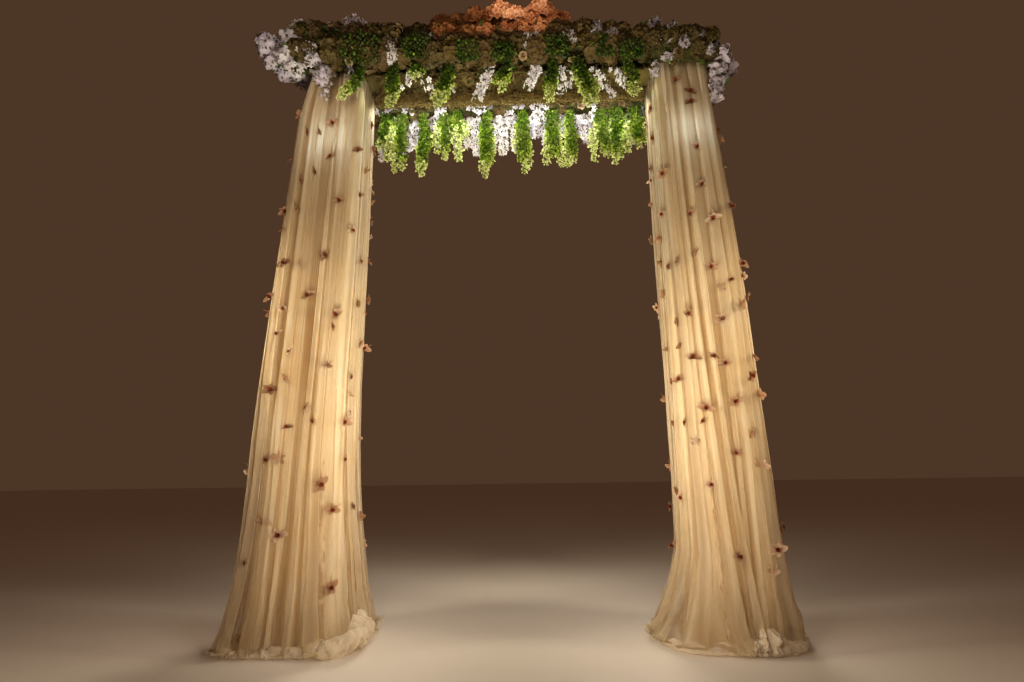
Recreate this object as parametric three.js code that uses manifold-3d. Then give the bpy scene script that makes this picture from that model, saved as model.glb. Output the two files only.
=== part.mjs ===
// A free-standing wedding canopy: two sheer draped columns that carry a deep header of flowers.
// Millimetres, +Z up. The origin is on the floor, midway between the columns. -Y is the front.
import * as THREE from 'three';
import { mergeVertices } from 'three/addons/utils/BufferGeometryUtils.js';
import Module from 'manifold-3d';

const wasm = await Module();
wasm.setup();

// Driving dimensions of the frame
const CLEARANCE = 0.3; // between pieces that rest on each other
const COLUMN_X = 1250; // centre of each column
const POST = 38; // square tube of the uprights
const POST_WALL = 3;
const POST_DX = 140; // post centre from the column's centre
const POST_DY = 125;
const PLATE = { w: 500, d: 430, t: 10 };
const POST_TOP = 3780;
const RING_BAR = 25; // width of the bar that hugs the posts
const MID_RING_Z = 1900;
const DRAPE_RING = { low: 3725, high: 3765 };
const MID_RING_HEIGHT = 30;

// Driving dimensions of the header's frame
const BEAM = { length: 2824, width: 40, height: 60, wall: 3 };
const RUNG_X = [-1250, -430, 430, 1250];
const RUNG = { width: 30, height: 30 };
const LINING = { length: 2820, t: 3 };

// Driving dimensions of the drapes
const DRAPE_TOP = 3760;
const DRAPE_T = 4;
const HEM_CLEAR = 1; // the hem hangs this far above the floor's level
const PLEAT_DEPTH = { top: 20, floor: 34 };
const HEM_ROLL = 38; // thickness of the crumpled heap at the hem
const DRAPE_LEVELS = [30, 75, 130, 300, 600, 850, 1100, 1900, 2800, 3560]; // between hem and top
const TRAIN_TOP = 1100; // each inner drape is two pieces, with its flared train below this level
const FLARE = {
  outer: { lean: 105, trail: 75, power: 16 },
  inner: { lean: 40, trail: 190, power: 8 },
  front: { lean: 55, trail: 70, power: 8 },
  rear: { lean: 55, trail: 95, power: 8 },
};
const FRONT_PLEATS = 5;
const SIDE_PLEATS = 4;

// Driving dimensions of the flowers
const BED_END = { left: 1500, right: 1415 }; // where the flower beds end on each side of the middle
const BED_TOP = 4080; // level of the bed's middle, where the heads rest
const BED_END_TOP = { left: 4150, right: 3880 }; // it swells over the left column and thins out to the right
const BED_FLAT_HALF = 620;
const LOBE_BOTTOM = 3700; // underside of the lobe that hangs in front of the beam
const BAND = { half: 1035, near: 75, far: 185, low: 3712 };
const TAIL_LENGTHS_FRONT = [
  // x of each green tail and its length under the bed
  [-1010, 260], [-810, 340], [-640, 110], [-430, 350], [-20, 240], [320, 270], [540, 400], [830, 310],
];
const TAIL_LENGTHS_REAR = [
  [-990, 310], [-820, 500], [-660, 550], [-490, 420], [-140, 570],
  [100, 540], [320, 490], [510, 490], [750, 460], [985, 390],
];
const SPRAYS_FRONT = [
  [-1280, 190], [-720, 90], [-230, 150], [190, 130], [690, 230], [1020, 150],
];
const SPRAYS_REAR = [
  [-905, 350], [-310, 350], [-20, 380], [205, 350], [610, 350], [875, 360],
];

const FINISH = {
  steel: { color: 0xe8e4da, roughness: 0.5, metalness: 0.3 },
  tube: { color: 0xc9cbcc, roughness: 0.4, metalness: 0.9 },
  sheer: { color: 0xf3e8cc, roughness: 0.85, metalness: 0 },
  lining: { color: 0xe9dcbc, roughness: 0.9, metalness: 0 },
  foliage: { color: 0x5f8a2f, roughness: 0.8, metalness: 0 },
  blossom: { color: 0xf3eee6, roughness: 0.7, metalness: 0 },
  mixed: { color: 0x9c8365, roughness: 0.85, metalness: 0 },
  moss: { color: 0x7d6644, roughness: 0.95, metalness: 0 },
  blush: { color: 0xd98f6c, roughness: 0.8, metalness: 0 },
};
const materials = Object.fromEntries(
  Object.entries(FINISH).map(([slot, look]) => [slot, new THREE.MeshStandardMaterial(look)]),
);

const canopy = new THREE.Group();

function addPiece(name, geometry, slot) {
  const mesh = new THREE.Mesh(geometry, materials[slot]);
  mesh.name = name;
  canopy.add(mesh);
  return mesh;
}

// A fixed scatter between 0 and 1, so that every build gives the same flowers.
function scatter(a, b = 0) {
  const s = Math.sin(a * 12.9898 + b * 78.233 + 4.1) * 43758.5453;
  return s - Math.floor(s);
}

// Joins rows of points, each row a closed ring, into one closed body with flat end caps.
// capPlane gives the two coordinates in which an end ring is laid out flat.
function loftRings(rings, capPlane) {
  const count = rings[0].length;
  const points = rings.flat();
  const faces = [];
  for (let r = 0; r + 1 < rings.length; r += 1) {
    for (let k = 0; k < count; k += 1) {
      const next = (k + 1) % count;
      const a = r * count + k;
      const b = r * count + next;
      faces.push([a, b, b + count], [a, b + count, a + count]);
    }
  }
  const capOf = (ring) => THREE.ShapeUtils.triangulateShape(ring.map(capPlane), []);
  const last = (rings.length - 1) * count;
  const first = rings[0].map(capPlane);
  const firstCap = capOf(rings[0]);
  const lastCap = capOf(rings[rings.length - 1]);
  const turn = THREE.ShapeUtils.area(first) > 0;
  for (const [a, b, c] of firstCap) faces.push(turn ? [a, c, b] : [a, b, c]);
  for (const [a, b, c] of lastCap) {
    faces.push(turn ? [last + a, last + b, last + c] : [last + a, last + c, last + b]);
  }
  return meshFrom(points, faces);
}

// Six times the signed volume under the faces: it is below zero when they point inwards.
function signedVolume(points, faces) {
  return faces.reduce((sum, [a, b, c]) => {
    const cross = new THREE.Vector3().crossVectors(points[b], points[c]);
    return sum + points[a].dot(cross);
  }, 0);
}

function meshFrom(points, faces) {
  const outwards = signedVolume(points, faces) > 0;
  const index = faces.flatMap(([a, b, c]) => (outwards ? [a, b, c] : [a, c, b]));
  const geometry = new THREE.BufferGeometry().setFromPoints(points);
  geometry.setIndex(index);
  geometry.computeVertexNormals();
  return geometry;
}

// Turns a closed geometry into a solid that can be joined and cut.
function solidOf(geometry) {
  const plain = geometry.clone();
  plain.deleteAttribute('normal');
  plain.deleteAttribute('uv');
  const merged = mergeVertices(plain, 1e-4);
  const index = merged.index.array;
  return new wasm.Manifold(new wasm.Mesh({
    numProp: 3,
    vertProperties: new Float32Array(merged.attributes.position.array),
    triVerts: new Uint32Array(index),
  }));
}

function geometryOf(solid) {
  const mesh = solid.getMesh();
  const geometry = new THREE.BufferGeometry();
  geometry.setAttribute('position', new THREE.BufferAttribute(mesh.vertProperties, 3));
  geometry.setIndex(new THREE.BufferAttribute(mesh.triVerts, 1));
  geometry.computeVertexNormals();
  return geometry;
}

function joined(geometries) {
  return geometryOf(geometries.map(solidOf).reduce((sum, solid) => sum.add(solid)));
}

function block(width, depth, height, x, y, zLow) {
  return new THREE.BoxGeometry(width, depth, height).translate(x, y, zLow + height / 2);
}

// A rectangular outline with a smaller rectangle cut out of it, raised to a height.
function hollowPrism(outerW, outerD, innerW, innerD, height) {
  const rectangle = (w, d) => [
    new THREE.Vector2(-w / 2, -d / 2), new THREE.Vector2(w / 2, -d / 2),
    new THREE.Vector2(w / 2, d / 2), new THREE.Vector2(-w / 2, d / 2),
  ];
  const shape = new THREE.Shape(rectangle(outerW, outerD));
  shape.holes.push(new THREE.Path(rectangle(innerW, innerD)));
  return new THREE.ExtrudeGeometry(shape, { depth: height, bevelEnabled: false });
}

// The frame of one column: a base plate, four uprights and the two rings that hug them.
const RING_INNER = {
  w: 2 * POST_DX + POST + 2 * CLEARANCE,
  d: 2 * POST_DY + POST + 2 * CLEARANCE,
};
const RING_OUTER = { w: RING_INNER.w + 2 * RING_BAR, d: RING_INNER.d + 2 * RING_BAR };

function ring(height) {
  return hollowPrism(RING_OUTER.w, RING_OUTER.d, RING_INNER.w, RING_INNER.d, height);
}

function columnFrame(side, sign) {
  const x = sign * COLUMN_X;
  addPiece(`${side}_base_plate`, block(PLATE.w, PLATE.d, PLATE.t, x, 0, 0), 'steel');
  const corners = { front_outer: [1, -1], front_inner: [-1, -1], rear_outer: [1, 1], rear_inner: [-1, 1] };
  for (const [corner, [out, back]] of Object.entries(corners)) {
    const inner = POST - 2 * POST_WALL;
    const low = PLATE.t + CLEARANCE;
    const post = hollowPrism(POST, POST, inner, inner, POST_TOP - low);
    const mesh = addPiece(`${side}_${corner}_upright`, post, 'tube');
    mesh.position.set(x + sign * out * POST_DX, back * POST_DY, low);
  }
  addPiece(`${side}_middle_ring`, ring(MID_RING_HEIGHT), 'tube').position.set(x, 0, MID_RING_Z);
  const hoop = ring(DRAPE_RING.high - DRAPE_RING.low);
  addPiece(`${side}_drape_ring`, hoop, 'tube').position.set(x, 0, DRAPE_RING.low);
}

// The header's frame: two beams on the uprights, rungs between them and a cloth lining under the rungs.
const BEAM_LOW = POST_TOP + CLEARANCE;
const BEAM_INNER_Y = POST_DY - BEAM.width / 2;
const BEAM_OUTER_Y = POST_DY + BEAM.width / 2;
const BEAM_HIGH = BEAM_LOW + BEAM.height;
const LINING_LOW = BEAM_LOW + 18;

function headerFrame() {
  for (const [name, sign] of [['front_beam', -1], ['rear_beam', 1]]) {
    const innerHeight = BEAM.height - 2 * BEAM.wall;
    const tube = hollowPrism(BEAM.height, BEAM.width, innerHeight, BEAM.width - 2 * BEAM.wall, BEAM.length);
    tube.rotateY(Math.PI / 2);
    tube.translate(-BEAM.length / 2, sign * POST_DY, BEAM_LOW + BEAM.height / 2);
    addPiece(name, tube, 'tube');
  }
  const span = 2 * (BEAM_INNER_Y - CLEARANCE);
  const rungLow = LINING_LOW + LINING.t + CLEARANCE;
  RUNG_X.forEach((x, k) => {
    addPiece(`rung_${k + 1}`, block(RUNG.width, span, RUNG.height, x, 0, rungLow), 'tube');
  });
  addPiece('soffit_lining', block(LINING.length, span, LINING.t, 0, 0, LINING_LOW), 'lining');
}

// How far a drape has left its ring at a height: a steady lean, and a train that curls out near the floor.
function flareAt(z, { lean, trail, power }) {
  const s = 1 - z / DRAPE_TOP;
  return lean * s + trail * s ** power;
}

function pleatDepthAt(z) {
  return THREE.MathUtils.lerp(PLEAT_DEPTH.floor, PLEAT_DEPTH.top, z / DRAPE_TOP);
}

// The heap of cloth is thickest just above the floor.
function drapeThicknessAt(z) {
  const heap = Math.max(0, 1 - Math.abs(z - 30) / 100);
  return DRAPE_T + HEM_ROLL * heap;
}

// Inner faces of one column's four drapes at a height, as distances from the column's centre.
function drapeRoom(z) {
  return {
    outer: RING_OUTER.w / 2 + CLEARANCE + flareAt(z, FLARE.outer),
    inner: RING_OUTER.w / 2 + CLEARANCE + flareAt(z, FLARE.inner),
    front: RING_OUTER.d / 2 + CLEARANCE + flareAt(z, FLARE.front),
    rear: RING_OUTER.d / 2 + CLEARANCE + flareAt(z, FLARE.rear),
  };
}

// One drape: a pleated sheet that stands outwards from its inner face. place(along, out) lays a
// point of the panel in the column's plan, where out is measured from the column's centre.
function drapePanel([low, high], pleats, seed, reach, place) {
  const columns = 2 * pleats + 1;
  const between = DRAPE_LEVELS.filter((z) => z > low && z < high);
  const rings = [low, ...between, high].map((z) => {
    const { from, to, out } = reach(z);
    const t = drapeThicknessAt(z);
    const wave = (k) => (k % 2 ? pleatDepthAt(z) * (0.7 + 0.5 * scatter(k, seed)) : 0);
    const along = (k) => THREE.MathUtils.lerp(from, to, k / (columns - 1));
    const inner = [];
    const outer = [];
    for (let k = 0; k < columns; k += 1) {
      const [xi, yi] = place(along(k), out + wave(k));
      const [xo, yo] = place(along(k), out + wave(k) + t);
      inner.push(new THREE.Vector3(xi, yi, z));
      outer.push(new THREE.Vector3(xo, yo, z));
    }
    return [...inner, ...outer.reverse()];
  });
  return loftRings(rings, (p) => new THREE.Vector2(p.x, p.y));
}

function columnDrapes(side, sign) {
  const wide = (z, face) => {
    const room = drapeRoom(z);
    const t = drapeThicknessAt(z);
    return { from: -room.inner - t, to: room.outer + t, out: room[face] };
  };
  const deep = (z, face) => {
    const room = drapeRoom(z);
    return { from: -room.front + CLEARANCE, to: room.rear - CLEARANCE, out: room[face] };
  };
  const plan = {
    front: [FRONT_PLEATS, wide, (along, out) => [along, -out]],
    rear: [FRONT_PLEATS, wide, (along, out) => [along, out]],
    outer: [SIDE_PLEATS, deep, (along, out) => [out, along]],
    inner: [SIDE_PLEATS, deep, (along, out) => [-out, along]],
  };
  const whole = [HEM_CLEAR, DRAPE_TOP];
  const spans = {
    front_drape: whole,
    rear_drape: whole,
    outer_drape: whole,
    inner_drape: [TRAIN_TOP + CLEARANCE / 2, DRAPE_TOP],
    inner_train: [HEM_CLEAR, TRAIN_TOP - CLEARANCE / 2],
  };
  for (const [name, span] of Object.entries(spans)) {
    const face = name.split('_')[0];
    const [pleats, reach, place] = plan[face];
    const seed = Object.keys(plan).indexOf(face) + 1 + 5 * (sign + 1);
    const onColumn = (along, out) => {
      const [x, y] = place(along, out);
      return [sign * (COLUMN_X + x), y];
    };
    const panel = drapePanel(span, pleats, seed, (z) => reach(z, face), onColumn);
    addPiece(`${side}_${name}`, panel, 'sheer');
  }
}

// A flower bed hugs its beam from above and outside, with a lobe that hangs down past the drapes.
// The profile gives [distance from the header's middle, height], and the last value is how lumpy it is.
const BED_PROFILE = [
  [BEAM_OUTER_Y + CLEARANCE, POST_TOP + 4, 0],
  [BEAM_OUTER_Y + CLEARANCE, BEAM_HIGH + CLEARANCE, 0],
  [15, BEAM_HIGH + CLEARANCE, 0],
  [10, 3930, 0.4],
  [35, 4030, 0.7],
  [90, BED_TOP, 0],
  [250, BED_TOP, 0],
  [320, 4010, 1],
  [350, 3920, 1],
  [352, 3820, 1],
  [345, 3745, 0.6],
  [332, LOBE_BOTTOM, 0],
  [212, LOBE_BOTTOM, 0],
  [206, POST_TOP + 4, 0],
];
const BED_STATIONS = 26;
const BED_LUMP = 24;

// The bed's top level along its length: flat in the middle, with a swell over the left column.
function bedTopAt(x) {
  const side = x < 0 ? 'left' : 'right';
  const over = Math.max(0, (Math.abs(x) - BED_FLAT_HALF) / (BED_END[side] - BED_FLAT_HALF));
  return THREE.MathUtils.lerp(BED_TOP, BED_END_TOP[side], Math.sin((over * Math.PI) / 2));
}

function flowerBed(name, sign) {
  const rings = [];
  for (let s = 0; s <= BED_STATIONS; s += 1) {
    const x = THREE.MathUtils.lerp(-BED_END.left, BED_END.right, s / BED_STATIONS);
    const stretch = (bedTopAt(x) - BEAM_HIGH) / (BED_TOP - BEAM_HIGH);
    rings.push(BED_PROFILE.map(([y, z, lumpy], k) => {
      const lump = BED_LUMP * Math.min(1, stretch) * lumpy * (2 * scatter(s + 0.5 * sign, k) - 1);
      const level = z > BEAM_HIGH + CLEARANCE ? BEAM_HIGH + (z - BEAM_HIGH) * stretch : z;
      return new THREE.Vector3(x, sign * (y + lump), level + lump);
    }));
  }
  addPiece(name, loftRings(rings, (p) => new THREE.Vector2(p.y, p.z)), 'mixed');
}

// The band of moss that hides the rear beam's underside, between the columns.
function mossBand() {
  const high = BEAM_LOW - CLEARANCE;
  const stations = 20;
  const rings = [];
  for (let s = 0; s <= stations; s += 1) {
    const x = THREE.MathUtils.lerp(-BAND.half, BAND.half, s / stations);
    const lump = 7 * (2 * scatter(s, 3) - 1);
    rings.push([
      [BAND.near, high], [BAND.near - 6 + lump, (high + BAND.low) / 2], [BAND.near + 10, BAND.low - lump],
      [BAND.far - 10, BAND.low + lump], [BAND.far, high],
    ].map(([y, z]) => new THREE.Vector3(x, y, z)));
  }
  addPiece('rear_moss_band', loftRings(rings, (p) => new THREE.Vector2(p.y, p.z)), 'moss');
}

// A lumpy blob of petals: a ball of few faces, stretched and dented.
function petalBlob([x, y, z], [rx, ry, rz], seed, ball = new THREE.IcosahedronGeometry(1, 1)) {
  const blob = mergeVertices(ball.deleteAttribute('normal').deleteAttribute('uv'));
  const position = blob.attributes.position;
  const point = new THREE.Vector3();
  for (let k = 0; k < position.count; k += 1) {
    point.fromBufferAttribute(position, k).multiplyScalar(0.9 + 0.2 * scatter(k, seed));
    position.setXYZ(k, x + rx * point.x, y + ry * point.y, z + rz * point.z);
  }
  return blob;
}

// One hanging green tail: narrow at the rail, fullest in its lower half, blunt at the tip.
const TAIL_SIDES = 7;
const TAIL_DEPTH = 0.42; // a tail is flatter from front to back than it is wide
const TAIL_GIRTH = [[0, 34], [0.2, 50], [0.45, 60], [0.7, 72], [0.88, 62], [1, 22]];

function hangingTail(x, y, zTop, length, seed) {
  const rings = TAIL_GIRTH.map(([down, girth], r) => {
    const ringPoints = [];
    for (let k = 0; k < TAIL_SIDES; k += 1) {
      const angle = (2 * Math.PI * k) / TAIL_SIDES;
      const radius = girth * (0.85 + 0.3 * scatter(k + 7 * r, seed));
      const sway = 12 * Math.sin(3 * down + seed);
      ringPoints.push(new THREE.Vector3(
        x + sway + radius * Math.cos(angle),
        y + TAIL_DEPTH * radius * Math.sin(angle),
        zTop - down * length,
      ));
    }
    return ringPoints;
  });
  return loftRings(rings, (p) => new THREE.Vector2(p.x, p.y));
}

// Everything that hangs in one row shares a thin rail, wired up under its bed.
const RAIL = { size: 12, overlap: 6 };

function railBlock(half, y, zHigh) {
  return block(2 * half, RAIL.size, RAIL.size, 0, y, zHigh - RAIL.size);
}

function tailRow(name, tails, y, zHigh, half) {
  const pieces = tails.map(([x, length], k) => (
    hangingTail(x, y, zHigh - RAIL.overlap, length - RAIL.overlap, k + y)
  ));
  addPiece(name, joined([railBlock(half, y, zHigh), ...pieces]), 'foliage');
}

const SPRAY_DEPTH = 24;
const STEM = { width: 9, length: 70 };

function sprayRow(name, sprays, y, zHigh, half) {
  const pieces = sprays.flatMap(([x, length], k) => {
    const radius = length / 4 + 12;
    const upper = [x - 14, y, zHigh - RAIL.size - radius];
    const lower = [x + 16, y, zHigh - length + radius];
    const stem = Math.min(STEM.length, length / 2);
    return [
      block(STEM.width, STEM.width, stem, x - 14, y, zHigh - RAIL.overlap - stem),
      petalBlob(upper, [70, SPRAY_DEPTH, radius], k + y, new THREE.OctahedronGeometry(1, 1)),
      petalBlob(lower, [60, SPRAY_DEPTH, radius], k + y + 0.5, new THREE.OctahedronGeometry(1, 1)),
    ];
  });
  addPiece(name, joined([railBlock(half, y, zHigh), ...pieces]), 'blossom');
}

// The heads on top of the header and the orchids that spill over its ends: blobs joined into one
// body, cut flat where they rest on the bed.
function cutFlat(blobs, keepBox) {
  return solidOf(joined(blobs)).intersect(solidOf(keepBox));
}

const TOP_HEADS = [
  // x, y, height above the bed, radius
  [-480, -170, 40, 105], [-340, -150, 75, 115], [-190, -190, 90, 120], [-40, -150, 110, 130],
  [100, -190, 150, 130], [230, -150, 120, 125], [370, -180, 70, 115],
];

function topHydrangeas() {
  const low = BED_TOP + CLEARANCE;
  const heads = TOP_HEADS.map(([x, y, up, r], k) => petalBlob([x, y, low + up], [r, 0.9 * r, r], 20 + k));
  const keep = block(1400, 500, 600, 0, -150, low);
  addPiece('top_hydrangea_heads', geometryOf(cutFlat(heads, keep)), 'blush');
}

const END_BLOBS = {
  // distance past the bed's end, y, z, radius
  left: [
    [100, -90, 3930, 160], [60, -250, 3970, 120], [140, -150, 4020, 110], [230, -260, 3930, 110], [110, -110, 3880, 120],
    [190, -220, 3840, 95], [80, -280, 3820, 100], [160, -120, 3850, 100], [60, 60, 4010, 110],
    [130, 150, 4010, 110],
  ],
  right: [
    [15, -100, 3860, 115], [15, -220, 3850, 100], [65, -160, 3820, 105], [85, -250, 3720, 85], [55, -240, 3620, 70],
    [45, -230, 3520, 60], [30, -220, 3430, 55], [15, 80, 3860, 110], [45, 180, 3840, 100], [75, -40, 3920, 115],
    [115, 40, 3990, 105], [185, 100, 4020, 100], [250, 160, 4020, 105], [327, 220, 4040, 105],
  ],
};
// The orchids keep clear of the drapes and of their ring.
const COLUMN_ROOM = { out: 1482, half: 214, high: 3768 };

function endCluster(side, sign) {
  const blobs = END_BLOBS[side].map(([out, y, z, r], k) => (
    petalBlob([sign * (BED_END[side] + out), y, z], [r, r, 0.95 * r], 40 + k)
  ));
  const keep = block(600, 1000, 1200, sign * (BED_END[side] + CLEARANCE + 300), 0, 3300);
  const { out, half, high } = COLUMN_ROOM;
  const column = block(600, 2 * half, high, sign * (out - 300), 0, 0);
  addPiece(`${side}_end_orchids`, geometryOf(cutFlat(blobs, keep).subtract(solidOf(column))), 'blossom');
}

for (const [side, sign] of [['left', -1], ['right', 1]]) {
  columnFrame(side, sign);
  columnDrapes(side, sign);
  endCluster(side, sign);
}
headerFrame();
flowerBed('front_flower_bed', -1);
flowerBed('rear_flower_bed', 1);
mossBand();
topHydrangeas();
const FRONT_ROW_Z = LOBE_BOTTOM - CLEARANCE;
tailRow('front_green_tails', TAIL_LENGTHS_FRONT, -298, FRONT_ROW_Z, 1040);
sprayRow('front_orchid_sprays', SPRAYS_FRONT, -233, FRONT_ROW_Z, 1310);
tailRow('rear_green_tails', TAIL_LENGTHS_REAR, 252, FRONT_ROW_Z, 1000);
sprayRow('rear_orchid_sprays', SPRAYS_REAR, 316, FRONT_ROW_Z, 920);

export default canopy;
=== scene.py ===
# %% [markdown]
# A free-standing wedding canopy: two columns wrapped in gathered ivory cloth carry a deep header of
# flowers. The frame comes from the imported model, and it stays where it is. This lesson hangs the cloth,
# wires in the flowers and gives every surface its finish, working in metres round the same origin.

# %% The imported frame
import itertools
import math
from collections import namedtuple
import bpy
import numpy as np
from mathutils import Matrix, Vector


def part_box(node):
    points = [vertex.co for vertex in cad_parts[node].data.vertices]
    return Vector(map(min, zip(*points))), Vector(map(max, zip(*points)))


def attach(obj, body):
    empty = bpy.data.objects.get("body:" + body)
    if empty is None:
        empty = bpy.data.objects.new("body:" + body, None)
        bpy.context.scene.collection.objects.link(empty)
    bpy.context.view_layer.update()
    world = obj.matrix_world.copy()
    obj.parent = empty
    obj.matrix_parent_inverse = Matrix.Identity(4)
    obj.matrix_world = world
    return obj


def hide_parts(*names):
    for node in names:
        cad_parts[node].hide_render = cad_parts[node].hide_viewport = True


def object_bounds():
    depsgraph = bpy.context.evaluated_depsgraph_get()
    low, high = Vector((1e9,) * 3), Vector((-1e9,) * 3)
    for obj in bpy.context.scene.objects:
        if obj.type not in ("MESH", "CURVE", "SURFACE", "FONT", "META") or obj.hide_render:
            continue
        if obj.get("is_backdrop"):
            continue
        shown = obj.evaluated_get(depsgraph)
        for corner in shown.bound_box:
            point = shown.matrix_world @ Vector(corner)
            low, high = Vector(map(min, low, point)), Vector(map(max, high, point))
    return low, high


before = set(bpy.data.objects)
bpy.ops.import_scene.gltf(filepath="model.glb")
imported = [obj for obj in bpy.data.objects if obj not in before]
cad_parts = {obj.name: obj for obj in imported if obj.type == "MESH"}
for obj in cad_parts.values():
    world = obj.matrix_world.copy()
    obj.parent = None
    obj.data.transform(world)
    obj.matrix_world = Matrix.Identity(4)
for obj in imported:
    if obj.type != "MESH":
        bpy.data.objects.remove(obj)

CAD_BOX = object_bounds()
print("frame nodes:", len(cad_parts), "box:", [tuple(round(v, 3) for v in c) for c in CAD_BOX])

# %% [markdown]
# The camera stands low in front of the canopy, near the height of a seated guest, and looks up with a
# wide lens, so the columns lean together towards the top. Its place was worked out from the straight
# edges of the photographed canopy. The three axes are built by hand, as a small roll is easier to
# keep apart from pitch and yaw that way. Later cells use the same axes to find what a pixel looks at.

# %% The camera
FRAME_WIDTH, FRAME_HEIGHT = 1024, 682
LENS = 17.976
SENSOR = 36.0
EYE = np.array([0.072, -3.25, 0.9])
PITCH, YAW, ROLL = (math.radians(v) for v in (14.7805, -1.2774, 0.8096))

ahead = np.array([math.sin(YAW) * math.cos(PITCH), math.cos(YAW) * math.cos(PITCH), math.sin(PITCH)])
level = np.array([math.cos(YAW), -math.sin(YAW), 0.0])
below = -np.cross(level, ahead)
across = level * math.cos(ROLL) + below * math.sin(ROLL)
down = below * math.cos(ROLL) - level * math.sin(ROLL)

camera = bpy.data.objects.new("camera", bpy.data.cameras.new("camera"))
camera.data.lens = LENS
camera.data.sensor_width = SENSOR
camera.data.clip_end = 200.0
turn = np.column_stack([across, -down, -ahead])
camera.matrix_world = Matrix.Translation(EYE) @ Matrix(turn.tolist()).to_4x4()
bpy.context.scene.collection.objects.link(camera)
bpy.context.scene.camera = camera


def sight_line(pixel):
    """Unit direction from the eye through a pixel: ahead plus the pixel's offset from the middle."""
    reach = LENS / SENSOR * FRAME_WIDTH
    x, y = pixel[0] - FRAME_WIDTH / 2, pixel[1] - FRAME_HEIGHT / 2
    line = ahead * reach + across * x + down * y
    return line / np.linalg.norm(line)


print("camera at", EYE, "looking along", ahead.round(3))

# %% [markdown]
# Two small helpers make everything else short. wander gives smooth noise, so that no two folds or
# petals are alike, yet each run gives the same ones. mesh_piece turns whole arrays of points and
# four-cornered faces into a mesh at once, with its UV map and any marks that a material reads.

# %% Smooth noise
# steps between the random values of neighbouring whole numbers, of seeds, and the scrambling factor
NOISE_STRIDES = (127.1, 311.7, 74.7)
SEED_STRIDE = 17.3
SCRAMBLE = 43758.5453


def wander(seed, *where):
    """Smooth noise from -1 to 1: fixed random values on whole numbers, blended by 3t^2 - 2t^3."""
    where = np.broadcast_arrays(*[np.asarray(w, float) for w in where])
    cells = [np.floor(w) for w in where]
    blends = [(w - c) ** 2 * (3 - 2 * (w - c)) for w, c in zip(where, cells)]
    total = 0.0
    for corner in itertools.product((0, 1), repeat=len(where)):
        key, weight = SEED_STRIDE * seed, 1.0
        for cell, blend, side, stride in zip(cells, blends, corner, NOISE_STRIDES):
            key = key + (cell + side) * stride
            weight = weight * (blend if side else 1 - blend)
        value = np.sin(key) * SCRAMBLE
        total = total + weight * (value - np.floor(value))
    return 2 * total - 1


def ease(low, high, value):
    """0 below low, 1 above high, and 3t^2 - 2t^3 between them."""
    t = np.clip((value - low) / (high - low), 0, 1)
    return t * t * (3 - 2 * t)


# %% Arrays into meshes
def grid_faces(rows, columns, start=0):
    """Corner numbers of the quads between the points of a grid, row by row."""
    corner = start + (np.arange(rows - 1)[:, None] * columns + np.arange(columns - 1)).ravel()
    return np.column_stack([corner, corner + 1, corner + columns + 1, corner + columns])


def mesh_piece(name, points, faces, uv, material, marks=None, stands_for=()):
    """One finished piece at the origin, riding on the frame, with smooth faces."""
    mesh = bpy.data.meshes.new(name)
    mesh.vertices.add(len(points))
    mesh.vertices.foreach_set("co", np.asarray(points, np.float32).ravel())
    mesh.loops.add(faces.size)
    mesh.loops.foreach_set("vertex_index", faces.astype(np.int32).ravel())
    mesh.polygons.add(len(faces))
    mesh.polygons.foreach_set("loop_start", np.arange(len(faces), dtype=np.int32) * faces.shape[1])
    mesh.polygons.foreach_set("use_smooth", np.ones(len(faces), bool))
    mesh.update(calc_edges=True)
    mesh.uv_layers.new(name="UVMap").data.foreach_set("uv", uv[faces.ravel()].astype(np.float32).ravel())
    for mark, values in (marks or {}).items():
        mesh.attributes.new(mark, "FLOAT", "POINT").data.foreach_set("value", values.astype(np.float32))
    mesh.materials.append(material)
    piece = bpy.data.objects.new(name, mesh)
    bpy.context.scene.collection.objects.link(piece)
    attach(piece, "root")
    if stands_for:
        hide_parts(*stands_for)
    print(name, "has", len(faces) * (faces.shape[1] - 2), "triangles")
    return piece


def grid_piece(name, grid, uv, material, marks=None, stands_for=(), flip=False):
    """One piece from a grid of points. flip turns its faces over."""
    faces = grid_faces(*grid.shape[:2])
    if flip:
        faces = faces[:, ::-1]
    uv = uv.reshape(-1, 2)
    return mesh_piece(name, grid.reshape(-1, 3), faces, uv, material, marks, stands_for)


# %% [markdown]
# Materials are built from a few shader node groups, each made once. A group has named inputs and
# outputs, as a tool has a handle: woven_threads gives the height and the gaps of a plain weave from
# the cloth's own UV map, which is in metres, and mottle blends two colours by soft patches.

# %% Nodes by name
def add(tree, kind, feeds=None, **settings):
    """Adds a shader node. feeds gives each input a value, or a socket to be linked to it."""
    made = tree.nodes.new("ShaderNode" + kind)
    for name, value in settings.items():
        setattr(made, name, value)
    for name, value in (feeds or {}).items():
        if isinstance(value, bpy.types.NodeSocket):
            tree.links.new(value, made.inputs[name])
        else:
            made.inputs[name].default_value = value
    return made


def arithmetic(tree, operation, first, second=0.0, third=0.0, clamp=False):
    feeds = {0: first, 1: second, 2: third}
    return add(tree, "Math", feeds, operation=operation, use_clamp=clamp).outputs[0]


def blend_colours(tree, share, first, second):
    """Mixes two colours. In this node the colour sockets come after those for numbers and vectors."""
    mixed = add(tree, "Mix", {0: share, 6: first, 7: second}, data_type="RGBA")
    return mixed.outputs[2]


def start_group(name, inputs, outputs):
    """An empty shader node group. inputs and outputs give each socket's type and its default."""
    group = bpy.data.node_groups.new(name, "ShaderNodeTree")
    for in_out, sockets in (("INPUT", inputs), ("OUTPUT", outputs)):
        for label, (kind, default) in sockets.items():
            socket = group.interface.new_socket(label, in_out=in_out, socket_type="NodeSocket" + kind)
            if default is not None:
                socket.default_value = default
    return group, group.nodes.new("NodeGroupInput").outputs, group.nodes.new("NodeGroupOutput").inputs


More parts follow.
